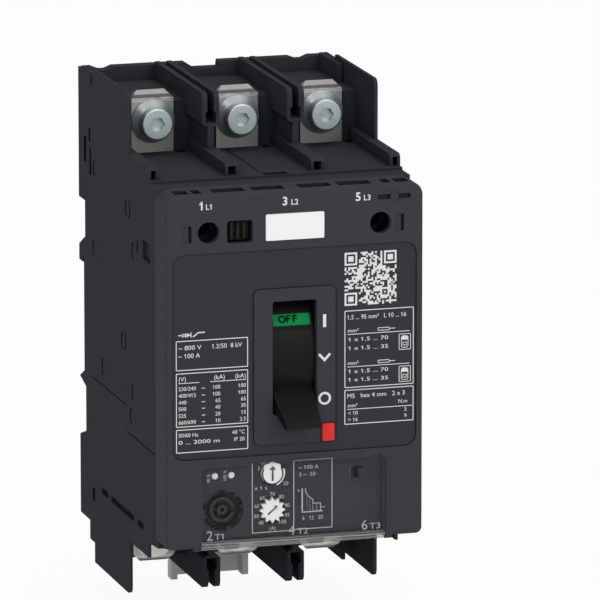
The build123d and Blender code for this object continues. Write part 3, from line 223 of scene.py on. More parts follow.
class Shader(Graph):
    """The node tree of one material."""

    BEVEL_RAYS = 4
    EDGE_GAIN = 6.0
    OPENNESS_RAYS = 6

    def __init__(self, name: str) -> None:
        """Make an empty material.

        Args:
            name: the material's name.
        """
        self.material = bpy.data.materials.new(name)
        self.material.use_nodes = True
        super().__init__(self.material.node_tree)
        self.tree.nodes.clear()
        self.place = self.node("ShaderNodeTexCoord").outputs["Object"]

    def axes(self) -> tuple[Signal, Signal, Signal]:
        """X, Y and Z of the Object coordinates, in millimetres."""
        split = self.node("ShaderNodeSeparateXYZ", {}, {0: self.place})
        return tuple(Signal(self, socket) / MM for socket in split.outputs)

    def noise(self, size: float, detail: float = 2.0, stretch: Axes = (1.0, 1.0, 1.0)) -> Signal:
        """Noise with grains of a given size.

        Args:
            size: grain size in millimetres.
            detail: octaves of finer noise.
            stretch: how many times finer it is along each axis.

        Returns:
            Values about one half.
        """
        scaled = self.node("ShaderNodeMapping", {}, {"Vector": self.place, "Scale": stretch})
        settings = {"Vector": scaled.outputs[0], "Scale": 1.0 / (size * MM), "Detail": detail}
        return self.signal("ShaderNodeTexNoise", {}, settings, "Fac")

    def tinted(self, colour: Colour, tone: Signal) -> bpy.types.NodeSocket:
        """A colour made lighter and darker by a value that it is multiplied by."""
        return self.node("ShaderNodeVectorMath", {"operation": "SCALE"}, {0: colour, "Scale": tone}).outputs[0]

    def mixed(self, share: Signal, first: object, second: object) -> bpy.types.NodeSocket:
        """Two colours mixed by a value.

        Args:
            share: 0 gives the first colour and 1 the second.
            first: a colour or its socket.
            second: a colour or its socket.

        Returns:
            The mixed colour's socket.
        """
        colours = [(*c, 1.0) if isinstance(c, tuple) else c for c in (first, second)]
        inputs = {0: share, 6: colours[0], 7: colours[1]}
        return self.node("ShaderNodeMix", {"data_type": "RGBA"}, inputs).outputs[2]

    def edges(self, radius: float) -> tuple[bpy.types.NodeSocket, Signal]:
        """Soft edges of a given radius.

        Args:
            radius: the edge radius in millimetres.

        Returns:
            The rounded normal, and a mask that is 1 on the edges.
        """
        rounded = self.node("ShaderNodeBevel", {"samples": self.BEVEL_RAYS}, {"Radius": radius * MM}).outputs[0]
        flat = self.node("ShaderNodeNewGeometry").outputs["Normal"]
        along = self.signal("ShaderNodeVectorMath", {"operation": "DOT_PRODUCT"}, {0: rounded, 1: flat}, "Value")
        return rounded, ((1.0 - along) * self.EDGE_GAIN).limited()

    def openness(self, reach: float) -> Signal:
        """How open the surface is: 1 in the clear, less where a wall stands within so many millimetres."""
        settings = {"samples": self.OPENNESS_RAYS, "only_local": True}
        return self.signal("ShaderNodeAmbientOcclusion", settings, {"Distance": reach * MM}, "AO")

    def inside(self, box: Box) -> Signal:
        """1 inside a box of Object coordinates in millimetres, and 0 outside."""
        x, y, z = ((value > low) * (value < high) for value, (low, high) in zip(self.axes(), box))
        return x * y * z

    def bumped(self, height: Signal, depth: float, normal: object = None) -> bpy.types.NodeSocket:
        """A bumpy normal.

        Args:
            height: the relief, 0 to 1.
            depth: its depth in millimetres.
            normal: the normal to start from.

        Returns:
            The normal's socket.
        """
        inputs = {"Strength": 1.0, "Distance": depth * MM, "Height": height}
        if normal is not None:
            inputs["Normal"] = normal
        return self.node("ShaderNodeBump", {}, inputs).outputs[0]

    def surface(self, inputs: dict) -> bpy.types.Material:
        """Close the material with a Principled surface.

        Args:
            inputs: values or links of its sockets.

        Returns:
            The finished material.
        """
        plain = {k: (*v, 1.0) if isinstance(v, tuple) and len(v) == 3 else v for k, v in inputs.items()}
        body = self.node("ShaderNodeBsdfPrincipled", {}, plain)
        self.node("ShaderNodeOutputMaterial", {}, {"Surface": body.outputs[0]})
        return self.material


class Recipe(Graph):
    """A Geometry Nodes tree with named inputs."""

    def __init__(self, name: str, takes_mesh: bool = False) -> None:
        """Make an empty tree.

        Args:
            name: the tree's name.
            takes_mesh: whether it starts from a mesh of places.
        """
        super().__init__(bpy.data.node_groups.new(name, "GeometryNodeTree"))
        self.interface = self.tree.interface
        if takes_mesh:
            self.interface.new_socket("Places", in_out="INPUT", socket_type="NodeSocketGeometry")
        self.interface.new_socket("Piece", in_out="OUTPUT", socket_type="NodeSocketGeometry")
        self.entry = self.tree.nodes.new("NodeGroupInput")

    def size(self, name: str, kind: str = "Float") -> Signal:
        """Add a named Float, Int, Vector or Material input, and wrap its value."""
        self.interface.new_socket(name, in_out="INPUT", socket_type=f"NodeSocket{kind}")
        return Signal(self, self.entry.outputs[name])

    def close(self, geometry: bpy.types.NodeSocket) -> None:
        """End the tree in Realize Instances and Set Material.

        Args:
            geometry: what the tree has made.
        """
        finish = self.size("Finish", "Material")
        real = self.node("GeometryNodeRealizeInstances", {}, {0: geometry})
        dressed = self.node("GeometryNodeSetMaterial", {}, {"Geometry": real.outputs[0], "Material": finish})
        self.node("NodeGroupOutput", {}, {0: dressed.outputs[0]})

    def lay(self, name: str, values: dict, places: Sequence[Vector] = ()) -> bpy.types.Object:
        """Run the tree and keep its result as a plain mesh.

        Args:
            name: the new piece's name.
            values: the named inputs' values.
            places: points that the tree starts from.

        Returns:
            The new piece, at the origin.
        """
        start = bpy.data.meshes.new(name + "_places")
        start.from_pydata([tuple(p) for p in places], [], [])
        holder = placed(name + "_places", start)
        modifier = holder.modifiers.new("recipe", "NODES")
        modifier.node_group = self.tree
        for item in self.interface.items_tree:
            if item.in_out == "INPUT" and item.name in values:
                modifier[item.identifier] = values[item.name]
        mesh = plain_mesh(holder)
        mesh.name = name
        return placed(name, mesh)


# ---------------------------------------------------------------- finishes
@dataclass(frozen=True)
class Finish:
    """A surface finish and the record's slot that it stands for."""

    name: str
    slot: str

    def material(self) -> bpy.types.Material:
        """The finish's material, made once."""
        return bpy.data.materials.get(self.name) or self.make(Shader(self.name))

    def make(self, shader: Shader) -> bpy.types.Material:
        """Build the material's nodes."""
        raise NotImplementedError

    def dress(self, *nodes: str) -> None:
        """Give the finish to CAD nodes.

        Args:
            nodes: the nodes' names.
        """
        for name in nodes:
            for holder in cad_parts[name].material_slots:
                holder.material = self.material()
            log.info("%s wears %s", name, self.name)


@dataclass(frozen=True)
class MouldedPlastic(Finish):
    """Injection-moulded plastic with a fine spark-eroded grain, slightly polished edges with a painted highlight, and
    painted shade in hollows and recesses.
    """

    colour: Colour = (0.04, 0.04, 0.045)
    roughness: float = 0.75
    specular: float = 0.08
    grain: float = 0.28
    grain_depth: float = 0.006
    mottle: float = 0.1
    mottle_size: float = 9.0
    edge: float = 0.2
    # how much lighter the painted edge highlight is, and how strongly it mixes in
    edge_highlight_tone: float = 1.5
    edge_highlight_share: float = 0.6
    polish: float = 0.12
    # strength of the painted shade where a wall stands near, as if in its shadow, and how far it reaches
    hollow_shade: float = 0.5
    hollow_reach: float = 2.5
    # boxes of painted shade in recesses, and how dark they are painted
    shaded_wells: tuple[Box, ...] = ()
    well_shade: float = 0.6
    coat: float = 0.0
    coat_roughness: float = 0.15

    def make(self, shader: Shader) -> bpy.types.Material:
        """Build grain, mottling, edge polish, the painted edge highlight and the painted shade.

        Args:
            shader: the empty material.

        Returns:
            The finished material.
        """
        broad = shader.noise(self.mottle_size, 3.0) - 0.5
        fine = shader.noise(self.grain, 2.0)
        rounded, edge_mask = shader.edges(self.edge)
        tone = 1.0 + broad * self.mottle + (fine - 0.5) * self.mottle
        # painted shade: darker where walls stand near, from an ambient occlusion node
        if self.hollow_shade:
            tone = tone * (1.0 - (1.0 - shader.openness(self.hollow_reach)) * self.hollow_shade)
        # painted shade inside the listed recess boxes
        for well in self.shaded_wells:
            tone = tone * (1.0 - shader.inside(well) * self.well_shade)
        # edges mixed towards a lighter colour: a painted highlight along every edge
        colour = shader.mixed(
            edge_mask * self.edge_highlight_share,
            shader.tinted(self.colour, tone),
            tuple(self.edge_highlight_tone * c for c in self.colour),
        )
        return shader.surface({
            "Base Color": colour,
            "Roughness": self.roughness + (broad - edge_mask) * self.polish,
            "Specular IOR Level": self.specular,
            "Coat Weight": self.coat,
            "Coat Roughness": self.coat_roughness,
            "Normal": shader.bumped(fine, self.grain_depth, rounded),
        })


class Lay(Enum):
    """Direction of the fine tool marks on a metal part."""

    TURNED = "rings about the terminal's axis"
    ROLLED = "lines across the strip"


@dataclass(frozen=True)
class Stripe:
    """A soft line across a strip: its middle and half its width in millimetres, its strength and its firmness."""

    middle: float
    half: float
    strength: float
    firmness: float = 1.0

    def over(self, across: Signal) -> Signal:
        """The line's strength at a distance across the strip."""
        return ((1.0 - (across - self.middle).size() / self.half) * self.firmness).limited() * self.strength


@dataclass(frozen=True)
class PlatedMetal(Finish):
    """Plated metal with fine tool marks and a faint cloudy tint.

    A strip that is bent over at a height has that height, up or down, among its folds: there a painted highlight
    lies along the fold, a painted shadow line beyond it and painted shade over the rest of the bent strip.
    """

    colour: Colour = (0.56, 0.64, 0.64)
    tint: Colour = (0.47, 0.54, 0.54)
    roughness: float = 0.36
    metallic: float = 0.85
    lay: Lay = Lay.TURNED
    axis_height: float = 0.0
    mark: float = 0.22
    mark_depth: float = 0.004
    edge: float = 0.12
    strip_grain: Axes = (1.0, 4.0, 40.0)
    folds: tuple[float, ...] = ()
    fold_waver: float = 0.6
    # painted shadow line and painted highlight line at each fold, their colours, and the painted shade of the strip
    # beyond
    fold_shade: Stripe = Stripe(1.15, 0.75, 0.85, 1.8)
    fold_glint: Stripe = Stripe(-0.1, 0.4, 0.7)
    fold_shadow_colour: Colour = (0.02, 0.02, 0.02)
    fold_highlight_colour: Colour = (0.66, 0.65, 0.62)
    beyond_fold_shade: float = 0.3

    def marks(self, shader: Shader) -> Signal:
        """Relief of the tool marks.

        Args:
            shader: the material's tree.

        Returns:
            Values from 0 to 1.
        """
        if self.lay is Lay.ROLLED:
            return shader.noise(4.0, 4.0, self.strip_grain)
        across, _, up = shader.axes()
        across = across - (across / POLE_PITCH).whole() * POLE_PITCH
        up = up - self.axis_height
        radius = (across * across + up * up) ** 0.5
        uneven = shader.noise(0.8, 2.0)
        return 0.5 + 0.5 * ((radius / self.mark + uneven) * math.tau).wave()

    def folded(self, shader: Shader, colour: bpy.types.NodeSocket, cloud: Signal) -> bpy.types.NodeSocket:
        """Paint light and shade on the folds of a bent strip.

        Args:
            shader: the material's tree.
            colour: the flat strip's colour.
            cloud: what makes their lines waver.

        Returns:
            The colour with the folds.
        """
        for height in self.folds:
            beyond = shader.axes()[2] * math.copysign(1.0, height) - abs(height)
            wavy = beyond + cloud * self.fold_waver
            # painted shade beyond the fold and a painted shadow line, then a painted highlight on the fold
            shade = ((beyond > 0.0) * self.beyond_fold_shade).larger(self.fold_shade.over(wavy))
            colour = shader.mixed(shade, colour, self.fold_shadow_colour)
            colour = shader.mixed(self.fold_glint.over(wavy), colour, self.fold_highlight_colour)
        return colour

    def make(self, shader: Shader) -> bpy.types.Material:
        """Build tool marks, tint clouds, rubbed edges and the painted light and shade of the folds.

        Args:
            shader: the empty material.

        Returns:
            The finished material.
        """
        marks = self.marks(shader)
        cloud = shader.noise(2.5, 3.0)
        rounded, edge_mask = shader.edges(self.edge)
        return shader.surface({
            "Base Color": self.folded(shader, shader.mixed(cloud, self.colour, self.tint), cloud),
            "Metallic": self.metallic,
            "Roughness": self.roughness + (cloud - 0.5) * 0.16 + marks * 0.04 - edge_mask * 0.08,
            "Normal": shader.bumped(marks, self.mark_depth, rounded),
        })


@dataclass(frozen=True)
class ClearPlastic(Finish):
    """Thin clear polycarbonate, denser and lighter on its edges as a painted edge highlight, and denser on its lip at
    the foot, with rippled streaks of painted refraction light and shade.
    """

    colour: Colour = (0.26, 0.27, 0.26)
    roughness: float = 0.08
    edge: float = 0.35
    body: float = 0.02
    edge_body: float = 0.45
    haze_body: float = 0.03
    lip: float = -51.6
    lip_body: float = 0.62
    # strength of the painted refraction streaks on the lip, and how far the lip's tone is lowered
    lip_streak: float = 0.45
    lip_dim: float = 0.2
    ripple: float = 0.9
    ripple_slope: float = 0.008

    def make(self, shader: Shader) -> bpy.types.Material:
        """Build the clear sheet with its painted light edges and the painted streaks on its lip.

        Args:
            shader: the empty material.

        Returns:
            The finished material.
        """
        rounded, edge_mask = shader.edges(self.edge)
        haze = shader.noise(6.0, 3.0)
        rim = shader.signal("ShaderNodeLayerWeight", {}, {"Blend": 0.35}, "Fresnel")
        across, _, up = shader.axes()
        lip = up < self.lip
        # rippled streaks on the lip: painted refraction light and shade
        refraction_streak = ((up + across * self.ripple_slope + haze * 0.5) * (math.tau / self.ripple)).wave()
        film = self.body + edge_mask * self.edge_body + rim * self.haze_body + (haze - 0.5) * self.haze_body
        return shader.surface({
            "Base Color": shader.tinted(
                self.colour, 0.9 + haze * 0.2 + lip * (refraction_streak * self.lip_streak - self.lip_dim),
            ),
            "Roughness": self.roughness + haze * 0.06,
            "Specular IOR Level": 0.5,
            "Alpha": (film + lip * (0.7 + refraction_streak * 0.3) * self.lip_body).limited(),
            "Normal": rounded,
        })


@dataclass(frozen=True)
class Ink(Finish):
    """Screen-printed ink with a slightly uneven film, also used for sheets of painted shade."""

    colour: Colour = (0.72, 0.72, 0.72)
    gloss: float = 0.25
    roughness: float = 0.5
    film_depth: float = 0.004
    uneven: float = 0.16

    def make(self, shader: Shader) -> bpy.types.Material:
        """Build the ink film.

        Args:
            shader: the empty material.

        Returns:
            The finished material.
        """
        film = shader.noise(0.5, 3.0)
        return shader.surface({
            "Base Color": shader.tinted(self.colour, 1.0 - self.uneven / 2 + film * self.uneven),
            "Roughness": self.roughness + film * 0.15,
            "Specular IOR Level": self.gloss,
            "Normal": shader.bumped(film, self.film_depth),
        })


@dataclass(frozen=True)
class Card(Finish):
    """White coated card with fine fibres."""

    colour: Colour = (0.86, 0.86, 0.86)
    roughness: float = 0.6
    fibre: float = 0.6
    fibre_depth: float = 0.006
    edge: float = 0.12

    def make(self, shader: Shader) -> bpy.types.Material:
        """Build the fibres and the soft edge.

        Args:
            shader: the empty material.

        Returns:
            The finished material.
        """
        fibre = shader.noise(self.fibre, 4.0, (1.0, 1.0, 3.0))
        rounded, edge_mask = shader.edges(self.edge)
        return shader.surface({
            "Base Color": shader.tinted(self.colour, 0.98 + fibre * 0.04 - edge_mask * 0.06),
            "Roughness": self.roughness + fibre * 0.15,
            "Specular IOR Level": 0.3,
            "Normal": shader.bumped(fibre, self.fibre_depth, rounded),
        })


# case and cover: painted shade in the floor slot, the floor pockets and the cover's top pockets
CASE = MouldedPlastic(
    "finish_case", "case", colour=(0.036, 0.0375, 0.045), specular=0.02, edge_highlight_tone=1.9,
    shaded_wells=(((-3.85, 3.85), (-83.85, -80.25), (54.9, 56.95)), ((-39.0, 39.0), (-50.0, -36.0), (53.9, 56.95))),
)
COVER = MouldedPlastic(
    "finish_cover", "cover", colour=(0.041, 0.043, 0.0505), edge_highlight_tone=1.8, hollow_shade=0.6,
    shaded_wells=(((-37.0, 37.0), (-101.25, -95.55), (54.65, 56.15)),), well_shade=0.42,
)
PANEL = MouldedPlastic("finish_panel", "panel", colour=(0.034, 0.0355, 0.0425), roughness=0.65, grain=0.2)
INSERT = MouldedPlastic("finish_insert", "dark_insert", colour=(0.021, 0.021, 0.018), roughness=0.4, hollow_shade=0.0)
SOCKET = MouldedPlastic("finish_socket", "dark_insert", colour=(0.036, 0.036, 0.04), roughness=0.5, hollow_shade=0.95)
FACE = MouldedPlastic("finish_face", "panel", colour=(0.036, 0.0375, 0.0445), roughness=0.7)
LEVER = MouldedPlastic(
    "finish_handle", "handle", colour=(0.0072, 0.0072, 0.0068), roughness=0.38, specular=0.1,
    grain=0.35, grain_depth=0.003, hollow_shade=0.0,
)
GREEN = MouldedPlastic("finish_green", "green_flag", colour=(0.006, 0.275, 0.08), edge_highlight_tone=1.2)
RED = MouldedPlastic("finish_red", "red_button", colour=(0.68, 0.042, 0.04), edge_highlight_tone=1.15, grain_depth=0.003)
RED_FLAG = MouldedPlastic("finish_red_flag", "red_flag", colour=(0.6, 0.03, 0.02), edge_highlight_tone=1.2)
DIAL = MouldedPlastic("finish_dial", "dial", colour=(0.86, 0.86, 0.84), edge_highlight_tone=1.0, mottle=0.04, hollow_shade=0.0)
LAMP = MouldedPlastic(
    "finish_lamp", "lamp", colour=(0.72, 0.72, 0.7), roughness=0.2, edge_highlight_tone=1.05, coat=0.5, grain_depth=0.002,
    hollow_shade=0.0,
)
CLIP = MouldedPlastic("finish_clip", "clip", colour=(0.9, 0.91, 0.88), edge_highlight_tone=1.0, mottle=0.08, hollow_shade=0.0)
LABEL = Card("finish_label", "label")
CLEAR = ClearPlastic("finish_clear", "clear")
WHITE_INK = Ink("ink_white", "label")
PALE_INK = Ink("ink_pale", "label", colour=(0.35, 0.35, 0.35))
GREY_INK = Ink("ink_grey", "label", colour=(0.47, 0.47, 0.47))
BLACK_INK = Ink("ink_black", "dark_insert", colour=(0.002, 0.02, 0.006), gloss=0.0)
DARK_INK = Ink("ink_dark", "dark_insert", colour=(0.08, 0.08, 0.075))
# inks of painted shade: the groove by the handle frame, the socket's keyways and disc, and the sides' rings, slots
# and seams
SHADE_INK = Ink("ink_shade", "dark_insert", colour=(0.008, 0.008, 0.0095), gloss=0.02)
DEEP_SHADE_INK = Ink("ink_deep_shade", "dark_insert", colour=(0.0055, 0.0055, 0.0065), gloss=0.0)
RIM_INK = Ink("ink_rim", "panel", colour=(0.036, 0.0375, 0.0445), gloss=0.08)
DRUM_INK = Ink("ink_drum", "handle", colour=(0.0065, 0.009, 0.0065), gloss=0.1)
# pads: painted light and shade on the folds of their bent lips
PAD = PlatedMetal(
    "finish_pad", "pad", colour=(0.38, 0.376, 0.364), tint=(0.32, 0.316, 0.305), roughness=0.38, lay=Lay.ROLLED,
    folds=(73.6, -71.3),
)
LINE_ZINC = PlatedMetal("finish_line_zinc", "zinc", axis_height=66.8)
LINE_WASHER = PlatedMetal(
    "finish_line_washer", "zinc", colour=(0.45, 0.49, 0.49), tint=(0.38, 0.41, 0.41), metallic=0.65,
    axis_height=66.8,
)
LOAD_ZINC = PlatedMetal(
    "finish_load_zinc", "zinc", colour=(0.62, 0.63, 0.58), tint=(0.5, 0.51, 0.46), axis_height=-64.3,
)


# ---------------------------------------------------------------- printed marks
class Align(Enum):
    """Which end of a line of lettering its place names."""

    LEFT = 0.0
    CENTRE = 0.5
    RIGHT = 1.0


def settle(piece: bpy.types.Object, body: str) -> None:
    """Let a piece ride on a body.

    Args:
        piece: the finished piece.
        body: the CAD body that it moves with.
    """
    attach(piece, body)
    log.info("%s rides on %s, %d faces", piece.name, body, len(piece.data.polygons))


class Sheet:
    """Marks printed, or shade painted, on one flat face, gathered into one thin mesh; sizes in millimetres."""

    SINK = 0.02
    MITRE = 0.4
    WELD = 0.0005
    CURVE_STEPS = 3
    _capital = 0.0

    def __init__(self, name: str, body: str, finish: Finish, face: float, film: float = 0.03) -> None:
        """Start an empty sheet.

        Args:
            name: the piece's name.
            body: the CAD body that it rides on.
            finish: its ink.
            face: Y of the face that carries the marks.
            film: how far the marks stand proud.
        """
        self.name, self.body, self.finish = name, body, finish
        self.back, self.front = face + self.SINK, face - film
        self.mesh = bmesh.new()

    def plate(self, outline: Sequence[Point]) -> None:
        """A filled shape.

        Args:
            outline: its corners as (x, z), in order.
        """
        rows = [[self.mesh.verts.new((x, y, z)) for x, z in outline] for y in (self.front, self.back)]
        self.mesh.faces.new(rows[0])
        self.mesh.faces.new(rows[1][::-1])
        self._walls(rows[0], rows[1])

    def band(self, outer: Sequence[Point], inner: Sequence[Point]) -> None:
        """A closed line between two loops of as many points.

        Args:
            outer: the outer loop's corners.
            inner: the inner loop's corners.
        """
        loops = [
            [self.mesh.verts.new((x, y, z)) for x, z in loop]
            for loop in (outer, inner) for y in (self.front, self.back)
        ]
        outer_front, outer_back, inner_front, inner_back = loops
        self._walls(outer_front, outer_back)
        self._walls(inner_back, inner_front)
        self._walls(inner_front, outer_front)
        self._walls(outer_back, inner_back)

    def _walls(self, first: list, second: list) -> None:
        """Quads between two loops.

        Args:
            first: one loop of vertices.
            second: the other loop.
        """
        for i, vertex in enumerate(first):
            j = (i + 1) % len(first)
            self.mesh.faces.new((vertex, second[i], second[j], first[j]))

    def bar(self, x: Point, z: Point) -> None:
        """A filled rectangle between low and high X and low and high Z."""
        self.plate([(x[0], z[0]), (x[1], z[0]), (x[1], z[1]), (x[0], z[1])])

    def box(self, x: Point, z: Point, line: float = 0.25, corner: float = 0.3) -> None:
        """A drawn rectangle between outside limits, with a line of that width and corners of that radius."""
        inside = self.rounded((x[0] + line, x[1] - line), (z[0] + line, z[1] - line), max(corner - line, 0.01))
        self.band(self.rounded(x, z, corner), inside)

    @staticmethod
    def rounded(x: Point, z: Point, radius: float) -> list[Point]:
        """Corners of a rounded rectangle.

        Args:
            x: low and high X.
            z: low and high Z.
            radius: corner radius.

        Returns:
            Its points, counter-clockwise.
        """
        centres = [(x[1], z[1], 0), (x[0], z[1], 90), (x[0], z[0], 180), (x[1], z[0], 270)]
        points = []
        for cx, cz, start in centres:
            mx = cx - radius if cx == x[1] else cx + radius
            mz = cz - radius if cz == z[1] else cz + radius
            for turn in (0, 30, 60, 90):
                a = math.radians(start + turn)
                points.append((mx + radius * math.cos(a), mz + radius * math.sin(a)))
        return points

    def ring(self, centre: Point, radius: float, line: float, steps: int = 40) -> None:
        """A drawn circle.

        Args:
            centre: its centre.
            radius: its outside radius.
            line: width of the line.
            steps: its sides.
        """
        turns = [math.tau * i / steps for i in range(steps)]
        loops = [
            [(centre[0] + r * math.cos(a), centre[1] + r * math.sin(a)) for a in turns]
            for r in (radius, radius - line)
        ]
        self.band(*loops)

    def arc(self, centre: Point, radius: float, line: float, turns: Point, steps: int = 16) -> None:
        """Part of a drawn circle.

        Args:
            centre: its centre.
            radius: its outside radius.
            line: width of the line.
            turns: first and last angle in degrees, clockwise from the top.
            steps: its sides.
        """
        angles = [math.radians(turns[0] + (turns[1] - turns[0]) * i / steps) for i in range(steps + 1)]
        outer = [(centre[0] + radius * math.sin(a), centre[1] + radius * math.cos(a)) for a in angles]
        inside = radius - line
        inner = [(centre[0] + inside * math.sin(a), centre[1] + inside * math.cos(a)) for a in angles]
        self.plate(outer + inner[::-1])

    def stroke(self, points: Sequence[Point], width: float) -> None:
        """A drawn line through points.

        Args:
            points: its corners.
            width: its width.
        """
        line = [Vector(p) for p in points]
        left, right = [], []
        for i, here in enumerate(line):
            before = (here - line[i - 1]).normalized() if i else None
            after = (line[i + 1] - here).normalized() if i + 1 < len(line) else None
            before, after = before or after, after or before
            along = (before + after).normalized()
            across = Vector((-along.y, along.x))
            reach = width / 2 / max(across.dot(Vector((-before.y, before.x))), self.MITRE)
            left.append(here + across * reach)
            right.append(here - across * reach)
        self.plate([tuple(p) for p in right + left[::-1]])

    def words(
        self, text: str, place: Point, height: float, align: Align = Align.LEFT,
        bold: float = 0.0, turn: float = 0.0, width: float = 0.0,
    ) -> None:
        """A line of lettering.

        Args:
            text: what it says.
            place: the end or middle of its baseline.
            height: height of its capitals.
            align: which end the place names.
            bold: how much the strokes are fattened, as a share of the letter's size.
            turn: degrees counter-clockwise.
            width: the whole line's width, where it is given.
        """
        drawn = [self._letters(text, bold), self._flags(text, bold)]
        low = min(v.co.x for part in drawn for v in part.vertices)
        high = max(v.co.x for part in drawn for v in part.vertices)
        tall = height / self._cap_height()
        wide = width / (high - low) if width else tall
        thick = self.back - self.front
        shift = Matrix.Translation((-(low + (high - low) * align.value), 0.0, 0.0))
        scale = Matrix.Diagonal((wide, tall, thick, 1.0))
        stand = Matrix.Rotation(math.radians(90), 4, "X")
        spin = Matrix.Rotation(math.radians(-turn), 4, "Y")
        put = Matrix.Translation((place[0], self.back, place[1]))
        for part in drawn:
            part.transform(put @ spin @ stand @ scale @ shift)
            self.mesh.from_mesh(part)
            bpy.data.meshes.remove(part)

    def lines(self, height: float, rows: Sequence[tuple[str, float, float, Align, float]]) -> None:
        """Lines of lettering of one height, each with its text, X, Z, end and width, or 0 for its own width."""
        for text, x, z, align, width in rows:
            self.words(text, (x, z), height, align, width=width)

    @classmethod
    def _cap_height(cls) -> float:
        """Height of a capital of a text of size one."""
        if not cls._capital:
            sample = cls._letters("H", 0.0)
            cls._capital = max(v.co.y for v in sample.vertices)
            bpy.data.meshes.remove(sample)
        return cls._capital

    @classmethod
    def _letters(cls, text: str, bold: float) -> bpy.types.Mesh:
        """Lettering of size one as a closed mesh with a depth of 0 to 1.

        Args:
            text: what it says.
            bold: how much its strokes are fattened.

        Returns:
            The mesh.
        """
        curve = bpy.data.curves.new("letters", "FONT")
        curve.body = text
        curve.offset = bold
        curve.resolution_u = cls.CURVE_STEPS
        curve.extrude = 0.5
        mesh = plain_mesh(placed("letters", curve))
        bpy.data.curves.remove(curve)
        mesh.transform(Matrix.Translation((0.0, 0.0, 0.5)))
        return mesh

    @classmethod
    def _flags(cls, text: str, bold: float) -> bpy.types.Mesh:
        """The slanted flags of every figure 1 in a text of size one.

        Args:
            text: what the text says.
            bold: how much its strokes are fattened.

        Returns:
            A closed mesh with a depth of 0 to 1.
        """
        top = cls._cap_height()
        drop, reach = 0.14, 0.17
        stem = 0.115 + 2 * bold
        flags = bmesh.new()
        for place, letter in enumerate(text):
            if letter != "1":
                continue
            before = cls._letters(text[:place + 1], bold)
            right = max(v.co.x for v in before.vertices)
            bpy.data.meshes.remove(before)
            left = right - 0.6 * stem
            tip, foot = left - reach, top - drop
            outline = [(left, top), (tip, foot), (tip, foot - stem), (left, top - 1.1 * stem)]
            rows = [[flags.verts.new((x, y, z)) for x, y in outline] for z in (0.0, 1.0)]
            flags.faces.new(rows[0])
            flags.faces.new(rows[1][::-1])
            for i in range(4):
                j = (i + 1) % 4
                flags.faces.new((rows[0][i], rows[1][i], rows[1][j], rows[0][j]))
        mesh = bpy.data.meshes.new("flags")
        flags.to_mesh(mesh)
        flags.free()
        return mesh

    def lay(self, bend: Callable[[Vector], Vector] | None = None) -> bpy.types.Object:
        """Turn the sheet into a piece.

        Args:
            bend: moves each point, in millimetres, onto a curved face.

        Returns:
            The piece, riding on its body.
        """
        bmesh.ops.remove_doubles(self.mesh, verts=self.mesh.verts[:], dist=self.WELD)
        for vertex in self.mesh.verts:
            vertex.co = (bend(vertex.co) if bend else vertex.co) * MM
        bmesh.ops.recalc_face_normals(self.mesh, faces=self.mesh.faces[:])
        mesh = bpy.data.meshes.new(self.name)
        self.mesh.to_mesh(mesh)
        self.mesh.free()
        mesh.materials.append(self.finish.material())
        piece = placed(self.name, mesh)
        settle(piece, self.body)
        return piece


def face_at(node: str, x: float, z: float) -> float:
    """Where a CAD node's front lies.

    Args:
        node: the node's name.
        x: X in millimetres.
        z: Z in millimetres.

    Returns:
        Y of its first surface behind the front, in millimetres.
    """
    seen = bpy.context.evaluated_depsgraph_get()
    tree = BVHTree.FromObject(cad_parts[node], seen)
    hit = tree.ray_cast(Vector((x * MM, FAR_FRONT, z * MM)), Vector((0.0, 1.0, 0.0)))[0]
    return hit.y / MM


